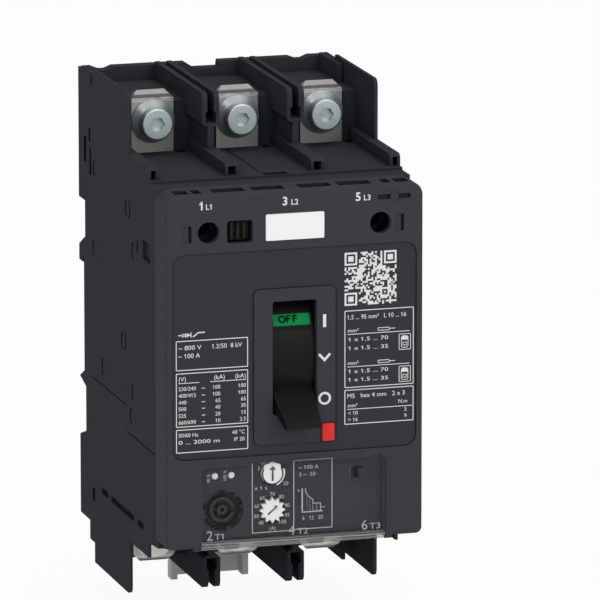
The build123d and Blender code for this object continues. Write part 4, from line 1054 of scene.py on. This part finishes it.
# ---------------------------------------------------------------- sub-assemblies
@dataclass
class Housing:
    """The two cases, the front cover, the rail clip, the marks that the moulds left on the sides and the shade
    painted on them.

    An ejector ring is given by Y, Z and radius. A shaded ring is given by its number and the halves that lie in
    shade, 1 for the rear one and -1 for the front one. A slot or seam is given by its limits before the rear face
    and its limits in height.
    """

    side: float = 39.8
    bead: float = 0.07
    ring_sides: int = 36
    bead_sides: int = 6
    shade_width: float = 1.0
    half_sweep: float = 62.0
    ejectors: tuple[tuple[float, float, float], ...] = (
        (-58.0, 43.4, 3.2), (-20.5, 48.4, 3.2), (-19.3, 23.0, 3.2), (-52.7, 1.0, 3.2), (-29.5, -12.5, 3.2),
        (-60.2, -12.8, 3.2), (-62.8, -20.5, 3.2), (-65.5, 31.6, 3.2), (-72.5, 44.0, 1.2),
    )
    shaded: tuple[tuple[int, tuple[int, ...]], ...] = (
        (0, (1, -1)), (1, (1,)), (2, (1,)), (3, (1, -1)), (4, (1,)), (5, (-1,)), (6, (1,)), (7, (1,)),
    )
    slots: tuple[tuple[Point, Point], ...] = (
        ((6.6, 9.2), (48.6, 56.6)), ((12.4, 14.3), (55.9, 60.0)), ((13.2, 15.0), (45.4, 53.8)),
        ((15.0, 17.4), (-58.2, -54.0)), ((15.2, 16.3), (74.2, 77.6)), ((68.6, 69.9), (32.4, 35.8)),
        ((15.0, 56.0), (-18.72, -18.4)), ((56.0, 88.0), (-26.82, -26.5)),
    )

    def dress(self) -> None:
        """Give the mouldings their finishes."""
        CASE.dress("breaker_case", "trip_unit_case")
        COVER.dress("front_cover")
        CLIP.dress("rail_clip")

    def ring_recipe(self) -> Recipe:
        """Rings left by ejector pins, one at each place.

        Returns:
            The tree.
        """
        recipe = Recipe("ejector_rings", takes_mesh=True)
        radius, bead = recipe.size("Radius"), recipe.size("Bead")
        circle, profile = (
            recipe.node("GeometryNodeCurvePrimitiveCircle", {"mode": "RADIUS"}, {"Resolution": sides, "Radius": size})
            for sides, size in ((self.ring_sides, radius), (self.bead_sides, bead))
        )
        curves = {"Curve": circle.outputs[0], "Profile Curve": profile.outputs[0]}
        tube = recipe.node("GeometryNodeCurveToMesh", {}, curves)
        upright = {"Geometry": tube.outputs[0], "Rotation": (0.0, math.pi / 2, 0.0)}
        stood = recipe.node("GeometryNodeTransform", {}, upright)
        rings = recipe.node(
            "GeometryNodeInstanceOnPoints", {},
            {"Points": recipe.entry.outputs["Places"], "Instance": stood.outputs[0]},
        )
        recipe.close(rings.outputs[0])
        return recipe

    def side_marks(self) -> None:
        """Lay the ejector rings on both sides."""
        recipe = self.ring_recipe()
        sizes = sorted({radius for *_, radius in self.ejectors})
        for number, size in enumerate(sizes, 1):
            for side, hand in ((-1, "left"), (1, "right")):
                places = [
                    Vector((side * self.side, y, z)) * MM for y, z, radius in self.ejectors if radius == size
                ]
                values = {"Radius": size * MM, "Bead": self.bead * MM, "Finish": CASE.material()}
                piece = recipe.lay(f"ejector_marks_{hand}_{number}", values, places)
                settle(piece, "case")

    def side_shadows(self) -> None:
        """Paint shade on the shaded halves of the ejector rings and in the slots and seams of both sides."""
        for side, hand in ((-1, "left"), (1, "right")):
            # a sheet of painted shade on each side
            sheet = Sheet(f"side_shades_{hand}", "case", DEEP_SHADE_INK, 0.0)
            for number, halves in self.shaded:
                y, z, radius = self.ejectors[number]
                for half in halves:
                    middle = 180 - 90 * side * half
                    turns = (middle - self.half_sweep, middle + self.half_sweep)
                    sheet.arc((side * y, z), radius, self.shade_width, turns)
            for depth, height in self.slots:
                sheet.bar(tuple(sorted(-side * d for d in depth)), height)
            sheet.lay(lambda v, side=side: Vector((side * (self.side - v.y), side * v.x, v.z)))

    def build(self) -> None:
        """Dress the mouldings and lay their marks."""
        self.dress()
        self.side_marks()
        self.side_shadows()


@dataclass
class TopBand:
    """The band above the rating panel: label, selector and line terminal numbers.

    Each pole's numbers are the large one, the small one, and the X of each; height, small and base are the
    heights of the large and small ones and the Z of their foot.
    """

    height: float = 2.45
    small: float = 1.65
    base: float = 51.6
    numbers: tuple[tuple[str, str, float, float], ...] = (
        ("1", "L1", -29.8, -27.8), ("3", "L2", -3.8, -1.1), ("5", "L3", 19.1, 21.7),
    )

    def build(self) -> None:
        """Dress the band's parts and print its numbers."""
        LABEL.dress("id_label")
        INSERT.dress("selector_insert")
        sheet = Sheet("line_numbers", "case", WHITE_INK, face_at("front_cover", 0.0, 52.0))
        for big, small, x_big, x_small in self.numbers:
            sheet.words(big, (x_big, self.base), self.height, bold=0.022)
            sheet.words(small, (x_small, self.base), self.small, bold=0.01)
        sheet.lay()


@dataclass
class RatingPanel:
    """The sunk panel with its tables, its code block and the marks beside the handle.

    The code block is given by the X and Z of its middle and by its side. Its corner marks and its small mark are
    counted in modules. A row of the middle table is given by its voltage, its two breaking capacities and the Z of
    its foot.
    """

    line: float = 0.25
    text: float = 1.35
    small: float = 1.15
    left: Point = (-37.2, -14.6)
    right: Point = (15.8, 37.7)
    code: tuple[float, float, float] = (24.0, 27.4, 16.4)
    modules: int = 29
    corner_share: float = 8.0
    mark_inset: float = 6.5
    mark_share: float = 2.9
    seed: int = 7
    rows: tuple[tuple[str, str, str, float], ...] = (
        ("230/240", "100", "100", -3.8), ("400/415", "100", "100", -5.9), ("440", "65", "65", -8.0),
        ("500", "40", "30", -10.0), ("525", "20", "15", -12.1), ("660/690", "10", "2.5", -14.2),
    )

    def face(self) -> float:
        """Y of the panel's front."""
        return face_at("rating_panel", -25.0, 22.0)

    def symbol(self, sheet: Sheet) -> None:
        """The circuit breaker sign under the top left corner.

        Args:
            sheet: the panel's prints.
        """
        z = 13.3
        sheet.stroke([(-36.4, z), (-35.2, z)], 0.3)
        for dx, dz in ((0.55, 0.55), (0.55, -0.55)):
            sheet.stroke([(-34.6 - dx, z - dz), (-34.6 + dx, z + dz)], 0.3)
        sheet.stroke([(-35.0, z), (-33.9, z)], 0.3)
        sheet.plate([(-33.8, z + 0.7), (-32.6, z), (-33.8, z - 0.7)])
        sheet.bar((-32.6, -32.3), (z - 0.75, z + 0.75))
        sheet.stroke([(-31.9, z - 0.6), (-31.3, z - 0.3), (-30.2, z + 0.6), (-28.1, z + 0.6)], 0.35)

    def left_tables(self, sheet: Sheet) -> None:
        """The three tables left of the handle.

        Args:
            sheet: the panel's prints.
        """
        x0, x1 = self.left
        indent, margin = x0 + 0.8, x1 - 1.1
        for limits in ((2.4, 11.6), (-15.1, 1.6), (-23.1, -15.8)):
            sheet.box((x0, x1), limits, self.line)
        for limits in ((indent, -29.9), (-26.5, x1 - 0.6)):
            sheet.bar(limits, (-1.6, -1.4))
        sheet.lines(self.text, (
            ("~ 800 V", indent, 8.7, Align.LEFT, 7.2), ("1.2/50  8 kV", x1 - 1.9, 8.7, Align.RIGHT, 9.4),
            ("~ 100 A", indent, 6.2, Align.LEFT, 6.8), ("(V)", x0 + 0.9, -0.9, Align.LEFT, 0.0),
            ("(kA)", -21.9, -0.9, Align.RIGHT, 0.0), ("(kA)", x1 - 0.7, -0.9, Align.RIGHT, 0.0),
        ))
        sheet.lines(self.small, (
            ("50/60 Hz", indent, -18.2, Align.LEFT, 0.0), ("40 °C", margin, -18.2, Align.RIGHT, 0.0),
            ("0 ... 2000 m", indent, -20.4, Align.LEFT, 12.8), ("IP 20", margin, -20.4, Align.RIGHT, 0.0),
        ))
        for volts, first, second, z in self.rows:
            sheet.words(volts, (indent, z), self.small)
            sheet.words("~", (-28.6, z), self.small, Align.CENTRE, bold=0.02)
            sheet.words(first, (-23.3, z), self.small, Align.RIGHT)
            sheet.words(second, (-15.3, z), self.small, Align.RIGHT)

    def clamp_sign(self, sheet: Sheet, z: float) -> None:
        """The little picture of a terminal beside a table row.

        Args:
            sheet: the panel's prints.
            z: height of its middle.
        """
        sheet.box((33.0, 36.8), (z - 2.5, z + 2.5), 0.2, 0.3)
        sheet.box((33.7, 36.0), (z - 1.9, z + 1.9), 0.2, 0.6)
        sheet.bar((33.9, 35.8), (z + 0.6, z + 1.7))
        sheet.box((34.2, 35.5), (z - 1.2, z - 0.1), 0.2, 0.2)

    def right_tables(self, sheet: Sheet) -> None:
        """The tables of terminal sizes right of the handle.

        Args:
            sheet: the panel's prints.
        """
        x0, x1 = self.right
        for limits in ((-6.3, 17.7), (-17.7, -6.9)):
            sheet.box((x0, x1), limits, self.line)
        for middle in (7.0, -3.0):
            self.clamp_sign(sheet, middle)
        for z, upper, lower in ((10.9, 8.1, 5.4), (0.8, -1.8, -4.4)):
            sheet.words("mm²", (x0 + 1.1, z), self.small, width=3.4)
            sheet.box((x0 + 10.5, x0 + 14.3), (z, z + 1.0), 0.2, 0.3)
            sheet.bar((x0 + 14.3, x0 + 16.0), (z + 0.4, z + 0.6))
            sheet.bar((x0 + 0.9, x0 + 20.6), (z - 0.7, z - 0.5))
            sheet.words("1 x 1.5 ... 70", (x0 + 1.2, upper), self.small, width=12.6)
            sheet.words("1 x 1.5 ... 35", (x0 + 1.2, lower), self.small, width=12.6)
        sheet.bar((x0 + 0.9, x1 - 0.5), (-13.1, -12.9))
        sheet.lines(self.text, (
            ("1.5 ... 95 mm²   L 10 ... 16", x0 + 0.9, 14.9, Align.LEFT, 18.6),
            ("M5   hex 4 mm   2 x 3", x0 + 0.9, -9.5, Align.LEFT, 18.2),
        ))
        sheet.lines(self.small, (
            ("mm²", x0 + 1.1, -12.4, Align.LEFT, 3.0), ("N.m", x1 - 2.0, -12.0, Align.RIGHT, 0.0),
            ("< 10", x0 + 1.2, -14.8, Align.LEFT, 0.0), ("> 16", x0 + 1.2, -16.8, Align.LEFT, 0.0),
            ("5", x1 - 2.2, -14.6, Align.RIGHT, 0.0), ("9", x1 - 2.2, -16.6, Align.RIGHT, 0.0),
        ))

    def code_recipe(self) -> Recipe:
        """A block of seeded square modules, clear of its corner marks.

        Returns:
            The tree.
        """
        recipe = Recipe("code_modules")
        count, step = recipe.size("Modules", "Int"), recipe.size("Module Size")
        film, share = recipe.size("Film"), recipe.size("Share")
        seed, centre = recipe.size("Seed", "Int"), recipe.size("Centre", "Vector")
        side = (count - 1.0) * step
        grid = recipe.node(
            "GeometryNodeMeshGrid", {},
            {"Size X": side, "Size Y": side, "Vertices X": count, "Vertices Y": count},
        )
        split = recipe.node("ShaderNodeSeparateXYZ", {}, {0: recipe.node("GeometryNodeInputPosition").outputs[0]})
        x, y = (Signal(recipe, split.outputs[i]) / step for i in (0, 1))
        edge = count * 0.5 - self.corner_share
        corner = (x.size() > edge) * (y.size() > edge) * (1.0 - (x > edge) * (y < 0.0))
        mark = count * 0.5 - self.mark_inset
        corner = corner.larger(((x - mark).size() < self.mark_share) * ((y + mark).size() < self.mark_share))
        chance = recipe.node("FunctionNodeRandomValue", {"data_type": "FLOAT"}, {"Seed": seed})
        drawn = Signal(recipe, chance.outputs[1]) < share
        module = recipe.node("ShaderNodeCombineXYZ", {}, {0: step * 1.01, 1: step * 1.01, 2: film})
        tile = recipe.node("GeometryNodeMeshCube", {}, {"Size": module.outputs[0]})
        tiles = recipe.node(
            "GeometryNodeInstanceOnPoints", {},
            {"Points": grid.outputs[0], "Instance": tile.outputs[0], "Selection": drawn * (1.0 - corner)},
        )
        stood = recipe.node(
            "GeometryNodeTransform", {},
            {"Geometry": tiles.outputs[0], "Rotation": (math.pi / 2, 0.0, 0.0), "Translation": centre},
        )
        recipe.close(stood.outputs[0])
        return recipe

    @staticmethod
    def square_mark(sheet: Sheet, x: float, z: float, step: float, modules: int) -> None:
        """A square of the code block with a solid core.

        Args:
            sheet: the panel's prints.
            x: X of its middle.
            z: Z of its middle.
            step: a module's side.
            modules: how many modules wide it is; its core is four fewer.
        """
        half, core = modules * step / 2, (modules - 4) * step / 2
        sheet.box((x - half, x + half), (z - half, z + half), step, 0.02)
        sheet.bar((x - core, x + core), (z - core, z + core))

    def code_block(self, sheet: Sheet) -> None:
        """Print the code block: its corner marks and its modules.

        Args:
            sheet: the panel's prints.
        """
        cx, cz, side = self.code
        step = side / self.modules
        far = side / 2 - 3.5 * step
        for sx, sz in ((-1, 1), (1, 1), (-1, -1)):
            self.square_mark(sheet, cx + sx * far, cz + sz * far, step, 7)
        near = side / 2 - self.mark_inset * step
        self.square_mark(sheet, cx + near, cz - near, step, 5)
        values = {
            "Modules": self.modules, "Module Size": step * MM, "Film": 0.04 * MM, "Share": 0.5, "Seed": self.seed,
            "Centre": (cx * MM, (self.face() - 0.01) * MM, cz * MM), "Finish": WHITE_INK.material(),
        }
        settle(self.code_recipe().lay("code_modules", values), "case")

    def handle_marks(self) -> None:
        """Print the on, trip and off marks on the frame beside the handle, and paint shade in the groove along the
        frame's right side.
        """
        sheet = Sheet("handle_marks", "case", WHITE_INK, face_at("front_cover", 10.2, 15.0))
        sheet.bar((8.85, 9.85), (13.2, 17.2))
        sheet.stroke([(7.6, 4.9), (9.35, 3.0), (11.1, 4.9)], 0.75)
        sheet.ring((9.4, -8.9), 2.0, 0.7)
        sheet.lay()
        # painted shade in the groove between the frame and the panel
        joint = Sheet("frame_groove_shade", "case", SHADE_INK, self.face())
        joint.bar((12.95, 13.25), (-20.6, 24.3))
        joint.lay()

    def build(self) -> None:
        """Dress the panel and print on it."""
        PANEL.dress("rating_panel")
        sheet = Sheet("panel_prints", "case", WHITE_INK, self.face())
        self.symbol(sheet)
        self.left_tables(sheet)
        self.right_tables(sheet)
        self.code_block(sheet)
        sheet.lay()
        self.handle_marks()


@dataclass
class RockerHandle:
    """The rocking handle, its two flags and the trip button.

    The pivot is given by Y and Z. A flag is given by its word, the degrees above the horizontal at which it
    stands, the X of its word's middle and the step from letter to letter. The hem is given by its two angles.
    """

    pivot: Point = (-76.0, 4.4)
    radius: float = 26.4
    flags: tuple[tuple[str, float, float, float], ...] = (("OFF", 25.2, -1.0, 2.0), ("ON", -79.8, 0.0, 2.6))
    height: float = 2.15
    film: float = 0.06
    hem: Point = (18.1, 20.6)
    hem_half: float = 5.82
    hem_film: float = 0.05

    def bend(self, angle: float) -> Callable[[Vector], Vector]:
        """How a flat word wraps onto the drum.

        Args:
            angle: where its middle lies above the horizontal, in degrees.

        Returns:
            A function that moves a point of the flat sheet.
        """
        y, z = self.pivot

        def wrap(point: Vector) -> Vector:
            """Move one point onto the drum."""
            turn = math.radians(angle) + point.z / self.radius
            reach = self.radius - point.y
            return Vector((point.x, y - reach * math.cos(turn), z + reach * math.sin(turn)))

        return wrap

    def build(self) -> None:
        """Dress the handle and letter its flags."""
        LEVER.dress("handle")
        LINE_ZINC.dress("handle_pin")
        GREEN.dress("flag_off")
        RED_FLAG.dress("flag_on")
        RED.dress("trip_button")
        for word, angle, offset, pitch in self.flags:
            ink = BLACK_INK if word == "OFF" else WHITE_INK
            sheet = Sheet(f"flag_word_{word.lower()}", "handle", ink, 0.0, self.film)
            for place, letter in enumerate(word):
                x = offset + (place - (len(word) - 1) / 2) * pitch
                sheet.words(letter, (x, -self.height / 2), self.height, Align.CENTRE, bold=0.02)
            sheet.lay(self.bend(angle))
        low, high = (math.radians(turn) * self.radius for turn in self.hem)
        hem = Sheet("flag_hem", "handle", DRUM_INK, 0.0, self.hem_film)
        middle = (low + high) / 2
        hem.bar((-self.hem_half, self.hem_half), (low - middle, high - middle))
        hem.lay(self.bend(math.degrees(middle / self.radius)))


@dataclass
class TripUnit:
    """The setting face with its dials, lamps and socket, under the clear flap.

    The frames are given by the X of their sides and their reach in Z, the dials by their common X and their own
    Z, and the currents by the degrees clockwise from the top at which they stand beside their dial. Tab, dots and
    arrow are given about the middle of what carries them, the arrow in radii of its dial.
    """

    frames: tuple[float, float, float] = (-12.8, 0.3, 12.55)
    reach: Point = (-50.2, -28.2)
    line: float = 0.25
    dial_x: float = -6.5
    class_z: float = -31.8
    current_z: float = -43.2
    text: float = 1.15
    tiny: float = 0.95
    socket: Point = (-22.0, -42.3)
    keyways: tuple[Point, ...] = (
        (24.0, 40.0), (50.0, 70.0), (84.0, 108.0), (118.0, 142.0), (168.0, 202.0), (222.0, 246.0),
    )
    dots: tuple[Point, ...] = ((-2.2, 2.75), (-0.45, 3.45), (-2.9, -1.3))
    dot: float = 0.36
    arrow: tuple[Point, ...] = (
        (-0.38, 0.42), (-0.1, 0.42), (-0.1, -0.72), (0.1, -0.72), (0.1, 0.42), (0.38, 0.42), (0.0, 0.86),
    )
    tab: tuple[Point, ...] = (
        (-2.75, 0.6), (2.7, 0.6), (2.45, 2.9), (1.0, 3.4), (-0.2, 4.0), (-1.4, 3.35), (-2.75, 2.8),
    )
    currents: tuple[tuple[str, float], ...] = (
        ("40", 222.0), ("50", 251.0), ("60", 287.0), ("65", 322.0), ("70", 2.0),
        ("80", 38.0), ("90", 77.0), ("95", 112.0), ("100", 140.0),
    )

    def face(self) -> float:
        """Y of the setting face."""
        return face_at("setting_face", 6.0, -48.5)

    def dress(self) -> None:
        """Give the trip unit's parts their finishes."""
        FACE.dress("setting_face")
        DIAL.dress("class_dial", "current_dial")
        SOCKET.dress("test_socket", "seal_eye")
        LAMP.dress("lamp_ready", "lamp_alarm")
        CLEAR.dress("trip_flap")

    def around(self, sheet: Sheet, text: str, centre: Point, turn: float, radius: float) -> None:
        """A number beside a dial.

        Args:
            sheet: the setting face's prints.
            text: the number.
            centre: the dial's centre.
            turn: degrees clockwise from the top.
            radius: how far the number's middle lies from the centre.
        """
        a = math.radians(turn)
        place = (centre[0] + radius * math.sin(a), centre[1] + radius * math.cos(a) - self.text / 2)
        sheet.words(text, place, self.text, Align.CENTRE)

    def graph(self, sheet: Sheet) -> None:
        """The tripping curve in the second frame.

        Args:
            sheet: the setting face's prints.
        """
        sheet.bar((2.9, 3.3), (-44.8, -37.2))
        sheet.bar((2.9, 9.6), (-44.8, -44.45))
        curve = [
            (4.1, -37.2), (4.2, -38.3), (4.9, -39.6), (6.0, -40.5), (6.5, -40.9), (6.5, -42.1), (8.9, -42.1),
            (8.9, -44.6),
        ]
        sheet.stroke(curve, self.line)
        for x, top in ((4.6, -39.6), (5.5, -40.6), (6.5, -42.4), (7.7, -42.4)):
            for step in range(6):
                low = top - 0.2 - step * (top + 44.3) / 6
                sheet.bar((x - 0.07, x + 0.07), (low - 0.2, low + 0.1))
        sheet.stroke([(9.2, -43.4), (10.4, -43.4)], 0.2)
        sheet.words("t", (1.7, -38.2), self.text)
        sheet.words("6   12   20", (3.2, -47.1), self.text, width=6.4)

    def prints(self) -> None:
        """Print frames, numbers and the tripping curve on the setting face."""
        sheet = Sheet("setting_prints", "case", GREY_INK, self.face())
        scale = Sheet("class_scale", "case", WHITE_INK, self.face())
        low, high = self.reach
        first, middle, last = self.frames
        joint, half = middle + self.line, self.line / 2
        sheet.stroke([(first + half, high), (first + half, low + half), (middle, low + half)], self.line)
        sheet.bar((middle, joint), (low, high))
        foot, head = low + 0.3, high - self.line / 2
        sheet.stroke([(joint, foot), (last, foot), (last, head), (joint, head)], self.line)
        scale.arc((self.dial_x, self.class_z), 4.2, 0.72, (72.0, 158.0))
        scale.lay()
        sheet.lines(self.text, (
            ("5", -10.9, -30.5, Align.LEFT, 0.0), ("10", -9.9, -28.0 - self.text, Align.LEFT, 0.0),
            ("20", -2.9, -35.8, Align.LEFT, 0.0), ("x 1 s", -12.0, -36.7, Align.LEFT, 4.0),
            ("(A)", self.dial_x + 0.2, -49.6, Align.CENTRE, 0.0), ("~ 100 A", 1.9, -31.2, Align.LEFT, 6.4),
            ("3 ~  50", 2.1, -33.4, Align.LEFT, 5.2),
        ))
        for text, turn in self.currents:
            radius = 5.15 if abs(turn - 180) < 100 else 4.9
            self.around(sheet, text, (self.dial_x, self.current_z), turn, radius)
        self.graph(sheet)
        sheet.words("90 %", (-26.0, -33.4), self.tiny, turn=90)
        sheet.words("105 %", (-20.8, -33.2), self.tiny, turn=90)
        sheet.lay()

    def arrows(self) -> None:
        """Darken the arrows cut in the two dials."""
        dials = (("class", self.class_z, 0.0, 3.0), ("current", self.current_z, 230.0, 2.6))
        for name, z, turn, radius in dials:
            floor = face_at(f"{name}_dial", self.dial_x + 0.6 * radius, z)
            sheet = Sheet(f"{name}_dial_arrow", f"{name}_dial", DARK_INK, floor, 0.09)
            along = radius * math.sin(math.radians(turn)), radius * math.cos(math.radians(turn))
            across = along[1], -along[0]
            sheet.plate([
                (self.dial_x + u * across[0] + v * along[0], z + u * across[1] + v * along[1])
                for u, v in self.arrow
            ])
            sheet.lay()
        front = face_at("class_dial", self.dial_x + 2.0, self.class_z)
        rim = Sheet("class_dial_rim", "class_dial", RIM_INK, front)
        rim.ring((self.dial_x, self.class_z), 3.4, 0.42)
        rim.lay()
        tab = Sheet("class_dial_tab", "class_dial", DIAL, front, 0.06)
        tab.plate([(self.dial_x + x, self.class_z + z) for x, z in self.tab])
        tab.lay()

    def socket_shades_and_dots(self) -> None:
        """Paint shade in the keyways of the test socket's rings and in arcs on its disc, and lay its dots."""
        x, z = self.socket
        # painted shade in the rings' keyways and on the disc
        rim = Sheet("socket_rim_shades", "case", SHADE_INK, face_at("test_socket", x + 6.05, z - 0.4))
        for turns in self.keyways:
            rim.arc(self.socket, 6.42, 0.95, turns, 6)
        rim.lay()
        disc = Sheet("socket_disc_shades", "case", SHADE_INK, face_at("test_socket", x + 2.6, z - 1.0))
        disc.arc(self.socket, 3.35, 0.35, (20.0, 112.0))
        disc.arc(self.socket, 3.35, 0.4, (134.0, 232.0))
        disc.arc(self.socket, 3.2, 1.35, (282.0, 338.0))
        disc.lay()
        dots = Sheet("socket_dots", "case", DARK_INK, face_at("test_socket", x + 2.6, z - 1.0), 0.06)
        for across, up in self.dots:
            wide, tall = ((middle - self.dot, middle + self.dot) for middle in (x + across, z + up))
            dots.plate(Sheet.rounded(wide, tall, self.dot - 0.02))
        dots.lay()

    def flap_prints(self) -> None:
        """Print the load terminal numbers on the clear flap."""
        sheet = Sheet("load_numbers", "trip_flap", PALE_INK, face_at("trip_flap", 10.0, -49.5))
        for big, small, x_big, x_small, width in (
            ("2", "T1", -27.8, -25.3, 2.8), ("4", "T2", -2.0, 0.9, 3.2), ("6", "T3", 21.2, 23.7, 3.4),
        ):
            sheet.words(big, (x_big, -50.8), 2.95)
            sheet.words(small, (x_small, -50.7), 1.8, width=width)
        sheet.lay()

    def build(self) -> None:
        """Dress the trip unit and print on it."""
        self.dress()
        self.prints()
        self.arrows()
        self.socket_shades_and_dots()
        self.flap_prints()


@dataclass
class Terminals:
    """The six screw terminals."""

    poles: int = 3

    def build(self) -> None:
        """Give pads, washers and screws their metals."""
        for number in range(1, self.poles + 1):
            PAD.dress(f"line_pad_{number}", f"load_pad_{number}")
            LINE_WASHER.dress(f"line_washer_{number}")
            LINE_ZINC.dress(f"line_screw_{number}")
            LOAD_ZINC.dress(f"load_washer_{number}", f"load_screw_{number}")


@dataclass
class Studio:
    """The floor, the lights and the camera; places and sizes in metres, angles in degrees.

    Each lamp is given by its name, its place, its side and its power in watts.
    """

    azimuth: float = -16.45
    elevation: float = 12.48
    eye: Axes = (-0.6571, -2.3344, 0.5369)
    lens: float = 473.8
    sensor: float = 36.0
    seen: Point = (0.1, 100.0)
    sky: float = 0.45
    floor_radius: float = 8.0
    floor_sides: int = 48
    floor_gap: float = 0.0002
    floor_tone: float = 0.9
    floor_glow: float = 0.94
    lamps: tuple[tuple[str, Axes, float, float], ...] = (
        ("key", (0.7, -2.3, 1.1), 1.8, 20.5),
        ("left", (-1.3, -1.7, 1.5), 1.0, 10.5),
        ("top", (0.3, -0.2, 2.2), 1.6, 14.0),
        ("low", (-0.3, -2.2, 0.1), 0.9, 1.0),
    )

    def camera(self) -> None:
        """Stand the camera where it looks down on the front from the left."""
        a, e = math.radians(self.azimuth), math.radians(self.elevation)
        back = Vector((math.sin(a) * math.cos(e), -math.cos(a) * math.cos(e), math.sin(e)))
        data = bpy.data.cameras.new("camera")
        data.lens, data.sensor_width = self.lens, self.sensor
        data.clip_start, data.clip_end = self.seen
        camera = placed("camera", data)
        camera.matrix_world = aimed(self.eye, back)
        bpy.context.scene.camera = camera

    def lights(self) -> None:
        """Hang the soft lamps, each aimed at the breaker."""
        for name, place, size, power in self.lamps:
            data = bpy.data.lights.new(name, "AREA")
            data.size, data.energy = size, power
            placed(name, data).matrix_world = aimed(place, Vector(place))

    @staticmethod
    def plain_ray(graph: Graph) -> Signal:
        """1 for rays that should meet a plain white ground.

        Args:
            graph: the tree to add to.

        Returns:
            1 for camera, glossy and transmission rays.
        """
        path = graph.node("ShaderNodeLightPath")
        names = ("Is Camera Ray", "Is Glossy Ray", "Is Transmission Ray")
        seen, mirrored, through = (Signal(graph, path.outputs[name]) for name in names)
        return seen.larger(mirrored).larger(through)

    def world(self) -> None:
        """Light the room evenly, and show it white."""
        world = bpy.data.worlds.new("room")
        world.use_nodes = True
        graph = Graph(world.node_tree)
        world.node_tree.nodes.clear()
        ground = graph.node("ShaderNodeBackground", {}, {"Color": (1.0, 1.0, 1.0, 1.0), "Strength": self.sky})
        graph.node("ShaderNodeOutputWorld", {}, {"Surface": ground.outputs[0]})
        bpy.context.scene.world = world

    def floor(self) -> None:
        """Lay the pale floor under the lowest point."""
        shader = Shader("floor_white")
        cloth = shader.node("ShaderNodeBsdfDiffuse", {}, {"Color": (*[self.floor_tone] * 3, 1.0)})
        glow = shader.node("ShaderNodeEmission", {}, {"Color": (1.0, 1.0, 1.0, 1.0), "Strength": 1.0})
        share = self.plain_ray(shader) * self.floor_glow
        mix = shader.node("ShaderNodeMixShader", {}, {0: share, 1: cloth.outputs[0], 2: glow.outputs[0]})
        shader.node("ShaderNodeOutputMaterial", {}, {"Surface": mix.outputs[0]})
        mesh = bpy.data.meshes.new("floor")
        z = CAD_BOX[0].z - self.floor_gap
        turns = [math.tau * i / self.floor_sides for i in range(self.floor_sides)]
        ring = [(self.floor_radius * math.cos(a), self.floor_radius * math.sin(a), z) for a in turns]
        mesh.from_pydata(ring, [], [tuple(range(self.floor_sides))])
        mesh.materials.append(shader.material)
        floor = placed("floor", mesh)

    def build(self) -> None:
        """Set the studio up."""
        self.camera()
        self.lights()
        self.world()
        self.floor()
        bpy.context.scene.view_settings.view_transform = "Standard"


def main() -> None:
    """Build the studio and every sub-assembly in order."""
    logging.basicConfig(level=logging.INFO, format="%(name)s: %(message)s")
    for part in (Studio(), Housing(), TopBand(), RatingPanel(), RockerHandle(), TripUnit(), Terminals()):
        log.info("building %s", type(part).__name__)
        part.build()


if __name__ == "__main__":
    main()
